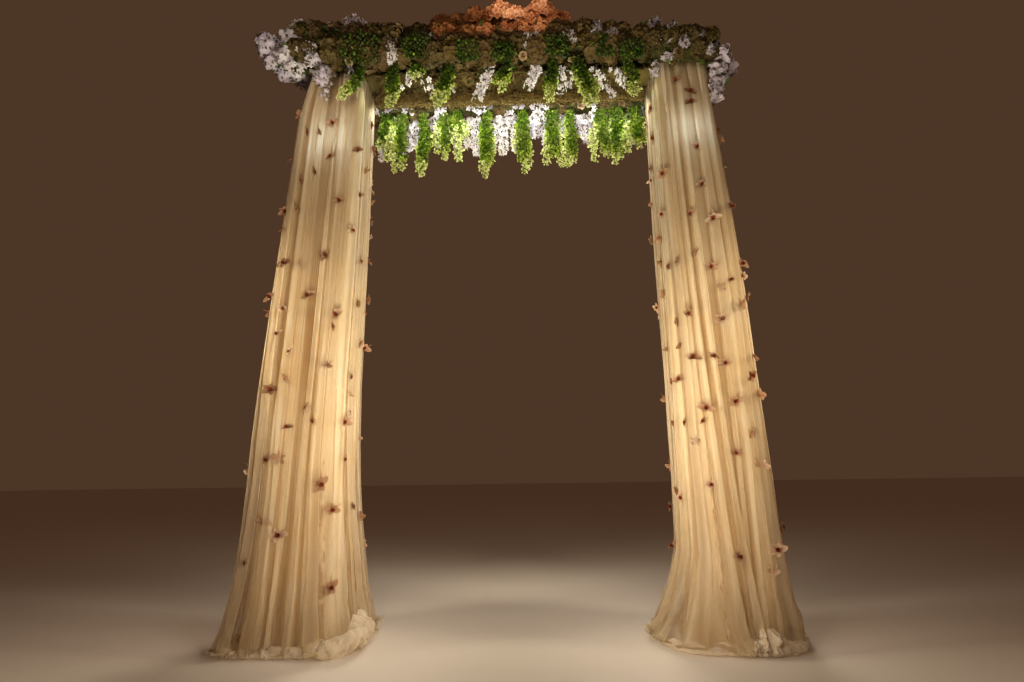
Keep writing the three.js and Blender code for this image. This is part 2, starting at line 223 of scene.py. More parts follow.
def use_group(tree, group, feeds):
    return add(tree, "Group", feeds, node_tree=group).outputs


def start_material(name, **numbers):
    """A material with one Principled BSDF, whose plain numbers are set on its own sockets."""
    material = bpy.data.materials.new(name)
    material.use_nodes = True
    tree = material.node_tree
    skin = tree.nodes["Principled BSDF"]
    for label, value in numbers.items():
        skin.inputs[label.replace("_", " ")].default_value = value
    return material, tree, skin


def coat(tree, skin, colour, height, strength, distance):
    """Gives the skin its colour and a bump of the height, and returns the bumped normal."""
    bump = add(tree, "Bump", {"Height": height, "Strength": strength, "Distance": distance})
    tree.links.new(colour, skin.inputs["Base Color"])
    tree.links.new(bump.outputs[0], skin.inputs["Normal"])
    return bump.outputs[0]


def thin_skin(tree, skin, through, feeds):
    """The skin of something thin, which scatters a share of the light to its far side."""
    glow = add(tree, "BsdfTranslucent", feeds)
    return add(tree, "MixShader", {0: through, 1: skin.outputs[0], 2: glow.outputs[0]}).outputs[0]


# %% A plain weave
def make_weave():
    """Height is the higher of two crossing rows of thread, and gaps is 1 in the holes between them."""
    group, given, made = start_group(
        "woven_threads",
        {"UV": ("Vector", None), "Threads": ("Float", 600.0)},
        {"Height": ("Float", None), "Gaps": ("Float", None)},
    )
    apart = add(group, "SeparateXYZ", {0: given["UV"]}).outputs
    rows = []
    for axis in (0, 1):
        turns = arithmetic(group, "MULTIPLY", apart[axis], given["Threads"])
        wave = arithmetic(group, "SINE", arithmetic(group, "MULTIPLY", turns, 2 * math.pi))
        rows.append(arithmetic(group, "MULTIPLY_ADD", wave, 0.5, 0.5))
    height = arithmetic(group, "MAXIMUM", *rows)
    group.links.new(height, made["Height"])
    thin = arithmetic(group, "SUBTRACT", 0.5, height)
    group.links.new(arithmetic(group, "MULTIPLY", thin, 3.0, clamp=True), made["Gaps"])
    return group


weave_group = make_weave()


# %% Soft patches of two colours
def make_mottle():
    """Two layers of noise, a coarse one and one four times finer, blend the first colour to the second."""
    group, given, made = start_group(
        "mottle",
        {
            "Vector": ("Vector", None),
            "Scale": ("Float", 5.0),
            "First": ("Color", (1, 1, 1, 1)),
            "Second": ("Color", (0, 0, 0, 1)),
        },
        {"Color": ("Color", None), "Mask": ("Float", None)},
    )
    coarse = add(group, "TexNoise", {"Vector": given["Vector"], "Scale": given["Scale"], "Detail": 3.0})
    finer = arithmetic(group, "MULTIPLY", given["Scale"], 4.0)
    fine = add(group, "TexNoise", {"Vector": given["Vector"], "Scale": finer, "Detail": 2.0})
    both = arithmetic(group, "MULTIPLY_ADD", fine.outputs[0], 0.35, coarse.outputs[0])
    mask = add(group, "MapRange", {"Value": both, "From Min": 0.45, "From Max": 0.9}).outputs[0]
    group.links.new(mask, made["Mask"])
    group.links.new(blend_colours(group, mask, given["First"], given["Second"]), made["Color"])
    return group


mottle_group = make_mottle()
print("shader groups:", [g.name for g in bpy.data.node_groups])

# %% [markdown]
# The tubes of the frame are drawn aluminium, so their satin skin has faint streaks along the tube. The
# two base plates are painted steel, scuffed by use. Both finishes are noise in Object coordinates: it
# is stretched along the tube for the one, and left as round patches for the other.

# %% The finish of the frame
def metal_material(name, first, second, metallic, rough, stretch):
    """Metal or paint whose colour and roughness move with noise, squeezed by stretch on each axis."""
    material, tree, skin = start_material(name, Metallic=metallic)
    place = add(tree, "TexCoord").outputs["Object"]
    drawn = add(tree, "VectorMath", {0: place, 1: stretch}, operation="MULTIPLY").outputs[0]
    feeds = {"Vector": drawn, "Scale": 9.0, "First": first, "Second": second}
    patches = use_group(tree, mottle_group, feeds)
    coat(tree, skin, patches["Color"], patches["Mask"], 0.2, 0.0005)
    tree.links.new(arithmetic(tree, "MULTIPLY_ADD", patches["Mask"], 0.25, rough), skin.inputs["Roughness"])
    return material


# two colours, how metallic and how rough
ALUMINIUM = ((0.72, 0.72, 0.71, 1), (0.50, 0.50, 0.49, 1), 1.0, 0.30)
SCUFFED_PAINT = ((0.74, 0.70, 0.62, 1), (0.48, 0.44, 0.38, 1), 0.1, 0.42)
upright_material = metal_material("aluminium_upright", *ALUMINIUM, (12, 12, 0.4))
bar_material = metal_material("aluminium_bar", *ALUMINIUM, (0.4, 12, 12))
plate_material = metal_material("scuffed_paint", *SCUFFED_PAINT, (1, 1, 1))
FINISHES = {
    "upright": upright_material, "ring": bar_material, "beam": bar_material, "rung": bar_material,
    "plate": plate_material,
}
finished = 0
for node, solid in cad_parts.items():
    for part, finish in FINISHES.items():
        if part in node.split("_"):
            solid.data.materials.clear()
            solid.data.materials.append(finish)
            finished += 1
print("nodes with a finish of their own:", finished)

# %% [markdown]
# The cloth. On the real canopy a thin ivory lining hangs from the top ring of each column, and a sheer
# voile hangs over it in two widths, which meet at a slit in front. Both are gathered, so they fall in
# soft folds that widen towards the floor, where the spare length lies in a frothy heap. A simulation
# would find such folds too, but a formula gives the same ones on each run and keeps them long and
# straight, as heavy gathering makes them. So each cloth is a grid: one way round the column, one way
# down the cloth.

# %% The shape that the cloth hangs round
HOOKED_BELOW = 0.005
RING_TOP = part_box("left_drape_ring")[1].z - HOOKED_BELOW
RING_LOW, RING_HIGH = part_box("right_drape_ring")
COLUMN_X = (RING_LOW.x + RING_HIGH.x) / 2
HALF_WIDTH = (RING_HIGH.x - RING_LOW.x) / 2
HALF_DEPTH = (RING_HIGH.y - RING_LOW.y) / 2
SIDES = {"left": -1, "right": 1}
# how square the cloth's outline is at the ring and at the floor: 2 is an ellipse, 9 is nearly a box
CORNER_POWERS = {"left": (9.0, 8.0), "right": (9.0, 3.0)}
# metres that each side of the voile has left its ring by, at these shares of the fall to the floor
FALL = [0, 0.1, 0.3, 0.47, 0.6, 0.7, 0.77, 0.83, 0.875, 0.93, 0.97, 1]
DEPTHWISE = {
    "front": [0, 0.017, 0.028, 0.038, 0.046, 0.055, 0.063, 0.073, 0.084, 0.102, 0.120, 0.137],
    "rear": [0, 0.017, 0.028, 0.038, 0.046, 0.055, 0.065, 0.079, 0.093, 0.116, 0.140, 0.162],
}
REACH = {
    "left": {
        "outer": [0, 0.056, 0.078, 0.094, 0.100, 0.097, 0.085, 0.080, 0.080, 0.090, 0.108, 0.125],
        "inner": [0, 0.006, 0.012, 0.010, 0.003, 0.015, 0.035, 0.058, 0.082, 0.105, 0.140, 0.190],
        **DEPTHWISE,
    },
    "right": {
        "outer": [0, 0.003, 0.027, 0.037, 0.038, 0.041, 0.044, 0.040, 0.044, 0.052, 0.085, 0.100],
        "inner": [0, 0.008, 0.016, 0.022, 0.030, 0.040, 0.046, 0.056, 0.064, 0.125, 0.200, 0.270],
        **DEPTHWISE,
    },
}
FACES = ("outer", "inner", "front", "rear")
OUTLINE_STEPS = 16001


def reach_of(side, face, height, fullness):
    """Distance from the column's axis: the ring's half size, plus fullness times the face's reach,
    which is read between its listed values at the share of the fall."""
    start = HALF_WIDTH if face in ("outer", "inner") else HALF_DEPTH
    return start + fullness * np.interp(1 - height / RING_TOP, FALL, REACH[side][face])


def wrap(side, angle, height, fullness):
    """A rounded rectangle |x/a|^n + |y/b|^n = 1, with its own a and b on each side. Returns the
    point and the outward normal, both as (out, back) in plan. Angle 0 is the middle of the front."""
    s, c = np.sin(angle), np.cos(angle)
    outer, inner, front, rear = (reach_of(side, face, height, fullness) for face in FACES)
    a, b = np.where(s > 0, outer, inner), np.where(c > 0, front, rear)
    at_ring, at_floor = CORNER_POWERS[side]
    small = 2 / (at_ring + (at_floor - at_ring) * np.clip(1 - height / RING_TOP, 0, 1) ** 4)
    point = np.stack([np.sign(s) * np.abs(s) ** small * a, -np.sign(c) * np.abs(c) ** small * b])
    normal = np.stack([
        np.sign(s) * np.abs(s) ** (2 - small) / a,
        -np.sign(c) * np.abs(c) ** (2 - small) / b,
    ])
    return point, normal / np.linalg.norm(normal, axis=0)


def angle_at(side, share):
    """The angle at a share of the way round, measured along the outline half way up the column."""
    fine = np.linspace(-math.pi, 3 * math.pi, OUTLINE_STEPS)
    outline, _ = wrap(side, fine, np.full(fine.shape, RING_TOP / 2), 1.0)
    run = np.concatenate([[0], np.cumsum(np.linalg.norm(np.diff(outline, axis=1), axis=0))])
    run = (run - np.interp(0, fine, run)) / (run[-1] / 2)
    return np.interp(share, run, fine)


def displaced(side, outline, push, sway):
    """x and y of points pushed out of the outline and swayed along it."""
    plan, normal = outline
    tangent = np.stack([-normal[1], normal[0]])
    out, back = plan + normal * push + tangent * sway
    return SIDES[side] * (COLUMN_X + out), back


def round_noise(seed, share, scale, *more):
    """Noise that meets itself again after one turn round the column."""
    turn = 2 * math.pi * share
    return wander(seed, scale * np.cos(turn), scale * np.sin(turn), *more)


print("cloth hangs from", round(RING_TOP, 3), "m, columns at +-", round(COLUMN_X, 3))


# %% Folds
# heights between which the cloth slackens, and shares of the fall over which its hem crumples and
# the two edges at the slit curl away from each other
SLACKENS = (0.8, 1.6)
HEM_CRUMPLES = (0.88, 1.0)
SLIT_OPENS = (0.72, 1.0)
OFF_THE_FLOOR = 0.006
HEAP_RISE = 0.55
HEM_DEPTH = 0.022


def hang(side, span, columns, rows, folds, depth, fullness, seed, spare=0.0, slit=None):
    """Gathered cloth round part of a column: a grid of points, its ridge mark of painted light and shade, and
    the way down it.
    Each fold pushes the cloth out by depth * (1 + cos(phase)) / 2 along the normal and sideways by
    sin(2 * phase), which rolls its flanks under. The phase counts the folds round the column, and
    noise shifts it, so that folds are wide or narrow and drift on the way down. The spare length
    lies on the floor as a rippled heap."""
    s = ((RING_TOP + spare) * np.linspace(0, 1, rows) ** 0.7)[:, None]
    share = np.linspace(*span, columns)[None, :]
    height = np.maximum(RING_TOP - s, OFF_THE_FLOOR)
    fallen = 1 - height / RING_TOP
    heap = np.clip((s - RING_TOP) / max(spare, 1e-6), 0, 1)

    phase = 2 * math.pi * folds * share + 3.0 * round_noise(seed, share, 3)
    phase = phase + 1.8 * fallen * round_noise(seed + 1, share, 4, 1.1 * s)
    strength = 0.66 + 0.34 * round_noise(seed + 2, share, 5, 0.8 * s)
    deep = depth[0] + (depth[1] - depth[0]) * fallen
    ridge = (0.5 + 0.5 * np.cos(phase)) ** 0.8
    second = 0.5 + 0.5 * np.cos(2.6 * phase + 4 * round_noise(seed + 3, share, 5, 0.7 * s))
    push = deep * strength * (0.78 * ridge + 0.22 * second)
    push = push + 0.018 * fallen ** 2 * round_noise(seed + 4, share, 2.5, 0.5 * s)
    near_floor = ease(*HEM_CRUMPLES, fallen)
    crumple = 0.6 * round_noise(seed + 5, share, 16, 13 * s)
    crumple = crumple + 0.4 * round_noise(seed + 6, share, 36, 30 * s)
    push = push + 0.003 + HEM_DEPTH * near_floor * crumple + 0.3 * spare * heap
    sway = 0.40 * deep * strength * np.sin(2 * phase) * ease(0, 0.05, fallen)
    if slit is not None:
        from_edge = share - slit - np.round(share - slit)
        curl = ease(*SLIT_OPENS, fallen) * np.exp(-np.abs(from_edge) / 0.02)
        sway = sway + 0.035 * curl * np.sign(span[0] + span[1] - 2 * slit - 1)
        push = push + 0.02 * curl

    full = fullness[1] + (fullness[0] - fullness[1]) * ease(*SLACKENS, height)
    x, y = displaced(side, wrap(side, angle_at(side, share), height, full), push, sway)
    ripple = np.abs(np.sin(2.3 * math.pi * heap + 2.5 * round_noise(seed + 7, share, 9)))
    tall = 0.5 + 0.5 * round_noise(seed + 8, share, 14)
    lift = HEAP_RISE * spare * ripple * (0.35 + tall) * ease(0, 0.3, heap)
    lift = lift + 0.012 * near_floor * (1 + crumple)
    # painted light and shade: the mark is pale on the crests and on the heap on the floor, and dark in the
    # valleys
    pale = np.maximum(ridge * (0.5 + 0.5 * strength), 0.95 * heap)
    return np.stack([x, y, height + lift], axis=-1), pale + 0 * push, s + 0 * push


def cloth_piece(name, side, hung, material, stands_for=()):
    """A piece of cloth from a hung grid: its UV map runs across by the developed width of the rows, on
    average, and down by the way down the cloth.
    """
    grid, ridge, drop = hung
    width = float(np.linalg.norm(np.diff(grid, axis=1), axis=2).sum(1).mean())
    across_uv = np.linspace(0, width, ridge.shape[1])[None, :] + 0 * ridge
    uv = np.stack([across_uv, drop], axis=-1)
    marks = {"ridge": ridge.ravel()}
    piece = grid_piece(name, grid, uv, material, marks, stands_for, flip=SIDES[side] < 0)


# %% [markdown]
# The lining and the voile are the same ivory, but the voile lets most of the light through. Cloth
# scatters light to its far side, so a share of a Translucent BSDF lets the lamps inside the columns
# shine out. The ridge mark of the grid paints light and shade into the colour: the valleys between folds
# and the fine creases are painted tan, and the crests are painted pale. The voile is a little more open in
# the gaps of its weave.

# %% Long creases
def make_creases():
    """Fine creases that run down the cloth: noise of the UV map, stretched to long thin streaks."""
    group, given, made = start_group(
        "long_creases", {"UV": ("Vector", None), "Across": ("Float", 45.0)}, {"Height": ("Float", None)}
    )
    apart = add(group, "SeparateXYZ", {0: given["UV"]}).outputs
    u = arithmetic(group, "MULTIPLY", apart[0], given["Across"])
    streaks = add(group, "CombineXYZ", {0: u, 1: arithmetic(group, "MULTIPLY", apart[1], 1.2)})
    noise = add(group, "TexNoise", {"Vector": streaks.outputs[0], "Scale": 1.0, "Detail": 3.0})
    height = add(group, "MapRange", {"Value": noise.outputs[0], "From Min": 0.32, "From Max": 0.68})
    group.links.new(height.outputs[0], made["Height"])
    return group


crease_group = make_creases()

# %% Cloth materials
IVORY = (0.90, 0.83, 0.67, 1)
# painted shade: the tan that the valleys between folds are painted with
FOLD_SHADE_TAN = (0.43, 0.28, 0.135, 1)
CREAM = (0.86, 0.74, 0.51, 1)
THREADS_A_METRE = 600.0
CREASES_A_METRE = 45.0


def cloth_material(name, pale, deep, cover, through, patchy=CREAM):
    """Woven cloth with patches of a third colour. Its ridges take the pale colour as painted light, and its
    valleys and fine creases take the deep colour as painted shade.
    cover is how much of the view it stops, and through how much of the light comes through it."""
    material, tree, skin = start_material(name, Roughness=0.8, Sheen_Weight=0.2, Sheen_Roughness=0.4)
    uv = add(tree, "UVMap", uv_map="UVMap").outputs[0]
    threads = use_group(tree, weave_group, {"UV": uv, "Threads": THREADS_A_METRE})
    creases = use_group(tree, crease_group, {"UV": uv, "Across": CREASES_A_METRE})["Height"]
    ridge = add(tree, "Attribute", attribute_name="ridge").outputs["Fac"]
    patches = use_group(tree, mottle_group, {"Vector": uv, "Scale": 2.5, "First": pale, "Second": patchy})
    # painted shade: the valleys of the ridge mark and the fine creases blend the colour towards the deep one
    valley = arithmetic(tree, "POWER", arithmetic(tree, "SUBTRACT", 1.0, ridge), 1.2)
    valley_shade = arithmetic(tree, "MULTIPLY_ADD", valley, 0.75, 0.25)
    depth = arithmetic(tree, "MULTIPLY_ADD", creases, -0.35, valley_shade, clamp=True)
    colour = blend_colours(tree, depth, patches["Color"], deep)
    relief = arithmetic(tree, "MULTIPLY_ADD", creases, 6.0, threads["Height"])
    normal = coat(tree, skin, colour, relief, 0.5, 0.0005)
    shader = thin_skin(tree, skin, through, {"Color": colour, "Normal": normal})
    if cover < 1:
        edge_on = add(tree, "LayerWeight", {"Blend": 0.5, "Normal": normal}).outputs["Facing"]
        slant = arithmetic(tree, "DIVIDE", 1.0, arithmetic(tree, "SUBTRACT", 1.06, edge_on))
        gaps = arithmetic(tree, "MULTIPLY_ADD", threads["Gaps"], 0.25, 1 - cover)
        open_share = arithmetic(tree, "POWER", gaps, slant, clamp=True)
        clear = add(tree, "BsdfTransparent")
        shader = add(tree, "MixShader", {0: open_share, 1: shader, 2: clear.outputs[0]}).outputs[0]
    tree.links.new(shader, tree.nodes["Material Output"].inputs["Surface"])
    return material


lining_material = cloth_material("ivory_lining", IVORY, FOLD_SHADE_TAN, cover=1.0, through=0.45)
voile_material = cloth_material("ivory_voile", IVORY, FOLD_SHADE_TAN, cover=0.42, through=0.6)

# %% The linings
LININGS = {
    # shares of the way round at which each part starts and ends, and the solids that it stands for
    "front": ((-0.135, 0.135), ["front_drape"]),
    "outer": ((0.135, 0.365), ["outer_drape"]),
    "rear": ((0.365, 0.635), ["rear_drape"]),
    "inner": ((0.635, 0.865), ["inner_drape", "inner_train"]),
}
# share of the voile's reach that the lining takes, high up and near the floor
LINING_FULLNESS = (0.62, 0.38)

for side, sign in SIDES.items():
    for part, (span, solids) in LININGS.items():
        hung = hang(
            side, span, columns=100, rows=52, folds=19, depth=(0.008, 0.030), fullness=LINING_FULLNESS,
            seed=11 + sign,
        )
        stands_for = [f"{side}_{solid}" for solid in solids]
        cloth_piece(f"{side}_{part}_lining", side, hung, lining_material, stands_for)

# %% The voile
# share of the way round at which the slit is
SLIT = -0.085
VOILE_PARTS = {"outer": (SLIT, 0.5), "inner": (0.5, 1 + SLIT)}

voile_grids = {}
for side, sign in SIDES.items():
    for part, span in VOILE_PARTS.items():
        hung = hang(
            side, span, columns=270, rows=88, folds=17, depth=(0.020, 0.056), fullness=(1.0, 1.0),
            seed=31 + sign, spare=0.08, slit=SLIT,
        )
        cloth_piece(f"{side}_{part}_voile", side, hung, voile_material)
        voile_grids[side, part] = hung[0]

# %% The ruffle at the slit
# nothing of the cloth stands further forward than this y
FRONT_LIMIT = -0.417
RUFFLE_TOP = 1.0
RUFFLE_HALF_WIDTHS = (0.005, 0.032)


def ruffle(side, seed, rows=260, columns=9):
    """A narrow upright frill: it widens on its way down the slit, and noise throws it in and out."""
    drop = RUFFLE_TOP * np.linspace(0, 1, rows)[:, None]
    w = np.linspace(-1, 1, columns)[None, :]
    height = np.maximum(RUFFLE_TOP - drop, 0.008)
    narrow, widest = RUFFLE_HALF_WIDTHS
    wide = narrow + (widest - narrow) * drop / RUFFLE_TOP
    side_noise, out_noise = wander(seed, 9 * drop, 0.6 * w), wander(seed + 1, 26 * drop, 1.3 * w)
    sway = wide * (w + 0.7 * side_noise)
    push = 0.012 + 0.7 * wide * (1 - w ** 2) + 0.9 * wide * out_noise
    x, y = displaced(side, wrap(side, angle_at(side, SLIT + 0 * drop), height, 1.0), push, sway)
    points = np.stack([x, np.maximum(y, FRONT_LIMIT), height + 0.3 * wide * side_noise + 0 * w], axis=-1)
    return points, 0.5 + 0.5 * out_noise, drop + 0 * w


for side, sign in SIDES.items():
    cloth_piece(f"{side}_slit_ruffle", side, ruffle(side, 231 + sign), voile_material)

# %% [markdown]
# A flounce of spare voile is gathered along each hem, and it froths up at one corner of each column,
# where the cloth was pushed together. It is a strip carried round the hem: its section is an arch from
# under the voile out to the floor, and three sizes of noise crumple it. The strip is looser than voile
# that hangs, so it gets more columns than rows.

# %% The froth at the hems
# painted shade: the flounce's deep colour darkens the valleys of its crumples and creases
froth_material = cloth_material(
    "voile_flounce", (0.96, 0.88, 0.74, 1), (0.66, 0.50, 0.32, 1), cover=0.62, through=0.4, patchy=IVORY,
)
# share of the way round at which the heap is fullest, and how full it is there and elsewhere
FROTH = {"left": (-0.155, 1.2, 0.30), "right": (0.03, 0.95, 0.30)}
FROTH_ENDS = 0.42
HEAP_WIDTH = 0.085


def froth(side, seed, columns=420, rows=16):
    """The crumpled strip. With a turn from 0 to pi down its section, it stands out by sin(turn) and
    is as high as (1 + cos(turn)) / 2, both scaled by how full the heap is at that place."""
    share = np.linspace(-FROTH_ENDS, FROTH_ENDS, columns)[None, :]
    turn = math.pi * np.linspace(0, 0.96, rows)[:, None]
    centre, most, least = FROTH[side]
    full = least + (most - least) * np.exp(-((share - centre) / HEAP_WIDTH) ** 2)
    coarse = round_noise(seed, share, 12, 0.8 * turn)
    middle = round_noise(seed + 1, share, 34, 1.6 * turn)
    fine = round_noise(seed + 2, share, 80, 2.5 * turn)
    free = np.sin(turn) ** 0.5
    bulge = 0.075 * np.sin(turn) * (1 + 0.5 * coarse) + free * (0.022 * middle + 0.010 * fine)
    rise = full * (0.13 + 0.05 * coarse) * (0.5 + 0.5 * np.cos(turn))
    height = rise + full * free * (0.018 * fine - 0.010 * middle)
    sway = full * free * (0.030 * middle + 0.012 * coarse)
    outline = wrap(side, angle_at(side, share), np.full(share.shape, 0.05), 1.0)
    x, y = displaced(side, outline, full * bulge + 0.012, sway)
    points = np.stack([x, np.maximum(y, FRONT_LIMIT), np.maximum(height, 0) + 0.004], axis=-1)
    return points, (0.85 + 0.15 * fine) + 0 * y, turn / math.pi * 0.2 + 0 * y


for side, sign in SIDES.items():
    cloth_piece(f"{side}_hem_froth", side, froth(side, 211 + sign), froth_material)

# %% [markdown]
# Flowers are the bulk of the header. Each kind is one small shape of a few dozen faces, and a piece
# holds hundreds of copies of it. The copies are made with one product of arrays: every point is
# turned, scaled and moved at once. A tone mark gives each copy its own shade, and a part mark tells
# hearts and stalks from petals. Instances would be lighter, but the export wants plain meshes.

# %% Small shapes and many copies
Shape = namedtuple("Shape", "points faces uv part")
FULL_TURN = 6.3
TONE_NOISE = 0.08


def petal(length, width, rows=3, columns=2, belly=1.0, tip=0.84, cup=0.2, curl=0.2, part=0.0):
    """A petal along x: half width sin(pi * (0.07 + (tip - 0.07) * t^belly)), so a tip near 1 is
    pointed. It cups by the square of the way across and curls up by the square of the way along."""
    t = np.linspace(0, 1, rows + 1)[:, None]
    w = np.linspace(-1, 1, columns + 1)[None, :]
    spread = np.sin(math.pi * (0.07 + (tip - 0.07) * t ** belly))
    x = length * (t - 0.10 * t * w ** 2) + 0 * w
    y = width / 2 * w * spread
    z = length * curl * t ** 2 + width * cup * w ** 2 * spread
    points = np.stack([x, y, z], axis=-1).reshape(-1, 3)
    uv = np.stack([0.5 + 0.5 * w * spread, t + 0 * w], axis=-1).reshape(-1, 2)
    return Shape(points, grid_faces(rows + 1, columns + 1)[:, ::-1], uv, np.full(len(points), part))


ROUND_OUTLINE = [(0, 0), (0.50, -0.46), (0.88, -0.34), (1.0, 0), (0.88, 0.34), (0.50, 0.46)]
SMALL_OUTLINE = [(0, 0), (0.62, -0.5), (1.0, 0), (0.62, 0.5)]


def flat_petal(outline, spread, rise, part=0.0):
    """A petal of one or two quads fanned out from its base, for florets seen in their hundreds."""
    points = np.array([(x, spread * y, rise * (x * x + y * y)) for x, y in outline])
    uv = np.array([(0.5 + y, x) for x, y in outline])
    faces = np.array([(0, k, k + 1, k + 2) for k in range(1, len(outline) - 2, 2)])
    return Shape(points, faces, uv, np.full(len(points), part))


def bud(sides=4, rows=4):
    """A closed cone of scales along z: radius 0.8 * sin(pi * (0.10 + 0.84 * t)), and 1.5 long."""
    t = np.linspace(0, 1, rows)[:, None]
    angle = np.linspace(0, 2 * math.pi, sides + 1)[None, :]
    radius = 0.8 * np.sin(math.pi * (0.10 + 0.84 * t))
    points = np.stack([radius * np.cos(angle), radius * np.sin(angle), 1.5 * t + 0 * angle], axis=-1)
    uv = np.stack([angle / FULL_TURN + 0 * t, t + 0 * angle], axis=-1).reshape(-1, 2)
    points = points.reshape(-1, 3)
    return Shape(points, grid_faces(rows, sides + 1), uv, np.zeros(len(points)))


def ball(rows=7, columns=10, part=1.0):
    """A coarse ball, to stand behind the petals of a head."""
    up = np.linspace(0.02, 0.98, rows)[:, None] * math.pi
    angle = np.linspace(0, 2 * math.pi, columns)[None, :]
    points = np.stack([np.sin(up) * np.cos(angle), np.sin(up) * np.sin(angle), np.cos(up) + 0 * angle], -1)
    uv = np.stack([angle / 7 + 0 * up, up / 4 + 0 * angle], axis=-1).reshape(-1, 2)
    points = points.reshape(-1, 3)
    return Shape(points, grid_faces(rows, columns)[:, ::-1], uv, np.full(len(points), part))


def spun(shape, angle, tilt=0.0, lift=0.0):
    """A shape tilted up about y, then spun about z and lifted."""
    c, s = math.cos(tilt), math.sin(tilt)
    points = shape.points @ np.array([[c, 0, -s], [0, 1, 0], [s, 0, c]]).T
    c, s = math.cos(angle), math.sin(angle)
    points = points @ np.array([[c, -s, 0], [s, c, 0], [0, 0, 1]]).T + [0, 0, lift]
    return shape._replace(points=points)


def joined(*shapes):
    """Several shapes as one."""
    starts = np.cumsum([0] + [len(s.points) for s in shapes[:-1]])
    faces = np.concatenate([s.faces + start for s, start in zip(shapes, starts)])
    points, uv, part = (np.concatenate([getattr(s, f) for s in shapes]) for f in ("points", "uv", "part"))
    return Shape(points, faces, uv, part)


def whorl(shape, count, tilt=0.0, start=0.0, lift=0.0):
    """The same petal repeated round z."""
    return joined(*[spun(shape, start + 2 * math.pi * k / count, tilt, lift) for k in range(count)])


def facing(directions, spins):
    """Turn matrices whose third axis is the given direction, spun about it."""
    z = directions / np.linalg.norm(directions, axis=1, keepdims=True)
    helper = np.where(np.abs(z[:, 2:3]) < 0.9, [[0.0, 0.0, 1.0]], [[1.0, 0.0, 0.0]])
    x = np.cross(helper, z)
    x = x / np.linalg.norm(x, axis=1, keepdims=True)
    y = np.cross(z, x)
    c, s = np.cos(spins)[:, None], np.sin(spins)[:, None]
    return np.stack([x * c + y * s, y * c - x * s, z], axis=2)


def copies(shape, places, turns, sizes, tones):
    """Many copies of a shape: size * (turn @ point) + place. Returns arrays for flower_piece."""
    count, corners = len(places), len(shape.points)
    points = np.einsum("nij,vj->nvi", turns, shape.points) * sizes[:, None, None] + places[:, None, :]
    faces = shape.faces[None] + corners * np.arange(count)[:, None, None]
    return {
        "points": points.reshape(-1, 3),
        "faces": faces.reshape(-1, shape.faces.shape[1]),
        "uv": np.tile(shape.uv, (count, 1)),
        "tone": np.repeat(tones, corners),
        "part": np.tile(shape.part, count),
    }


def strewn(shape, places, aims, size, luck, tones=None, wobble=0.3, spread=0.15):
    """Copies of a shape that face roughly along aims, with chance in their turn, size and tone."""
    count = len(places)
    aims = aims + luck.normal(0, wobble, aims.shape)
    if tones is None:
        tones = luck.uniform(0, 1, count)
    else:
        tones = (tones + luck.normal(0, TONE_NOISE, count)).clip(0, 1)
    sizes = size * luck.uniform(1 - spread, 1 + spread, count)
    return copies(shape, places, facing(aims, luck.uniform(0, FULL_TURN, count)), sizes, tones)


def flower_piece(name, batches, material, stands_for=()):
    """One piece from several batches of copies."""
    starts = np.cumsum([0] + [len(b["points"]) for b in batches[:-1]])
    whole = {f: np.concatenate([b[f] for b in batches]) for f in ("points", "uv", "tone", "part")}
    faces = np.concatenate([b["faces"] + start for b, start in zip(batches, starts)])
    marks = {"tone": whole["tone"], "part": whole["part"]}
    mesh_piece(name, whole["points"], faces, whole["uv"], material, marks, stands_for)


def ball_points(count):
    """Points spread evenly over a ball: each is a golden-angle turn on from the last."""
    k = np.arange(count) + 0.5
    z = 1 - 2 * k / count
    angle = math.pi * (1 + 5 ** 0.5) * k
    flat = np.sqrt(1 - z ** 2)
    return np.stack([flat * np.cos(angle), flat * np.sin(angle), z], axis=1)


# %% The blooms
FLORET = whorl(flat_petal(SMALL_OUTLINE, 1.25, 0.35), 4)
CORAL_FLORET = whorl(flat_petal(ROUND_OUTLINE, 1.15, 0.30), 4)
BUD = bud()
BRACTS = joined(
    whorl(flat_petal(SMALL_OUTLINE, 0.85, 0.30), 3, tilt=1.05),
    whorl(flat_petal(SMALL_OUTLINE, 0.95, 0.10), 3, tilt=0.55, start=1.05, lift=-0.25),
)
ORCHID = joined(
    whorl(petal(1.0, 0.62, tip=0.93, curl=-0.12, cup=-0.1), 3, start=math.pi / 2),
    whorl(petal(1.05, 1.10, tip=0.86, curl=-0.10, cup=-0.08), 2, start=0.12, tilt=-0.05, lift=0.03),
    spun(petal(0.42, 0.34, rows=2, tip=0.88, curl=0.9, cup=0.8, part=1.0), -math.pi / 2, -0.3, 0.06),
)
SMALL_ORCHID = joined(
    whorl(flat_petal(ROUND_OUTLINE, 0.75, 0.25), 5, start=math.pi / 2),
    spun(flat_petal(SMALL_OUTLINE, 0.5, 0.9, part=1.0), -math.pi / 2, 0.3, 0.05),
)
ROSE = joined(
    whorl(petal(0.42, 0.62, rows=2, cup=0.5, curl=0.5), 3, tilt=1.25),
    whorl(petal(0.72, 0.86, rows=2, tip=0.74, cup=0.4, curl=0.3), 4, tilt=0.85, start=0.4),
    whorl(petal(0.92, 1.0, rows=2, tip=0.70, cup=0.25, curl=-0.1), 5, tilt=0.35, start=0.1),
)
LEAF = petal(1.0, 0.46, rows=3, columns=2, belly=0.8, tip=0.985, cup=0.35, curl=-0.25)
NARROW_LEAF = petal(1.0, 0.26, rows=2, columns=1, belly=0.8, tip=0.98, curl=-0.2)
BALL = ball()
kinds = {"floret": FLORET, "bud": BUD, "orchid": ORCHID, "small orchid": SMALL_ORCHID, "rose": ROSE}
print("triangles:", {kind: 2 * len(shape.faces) for kind, shape in kinds.items()})

# %% [markdown]
# Petals are thin, so light shines through them a little. One material builder serves every bloom: the
# base of a petal has the heart colour, and the rest takes a shade that the tone mark of its copy picks
# from a short ramp. Faint veins come from the petal's own UV map. Waxy orchids get a lower roughness.

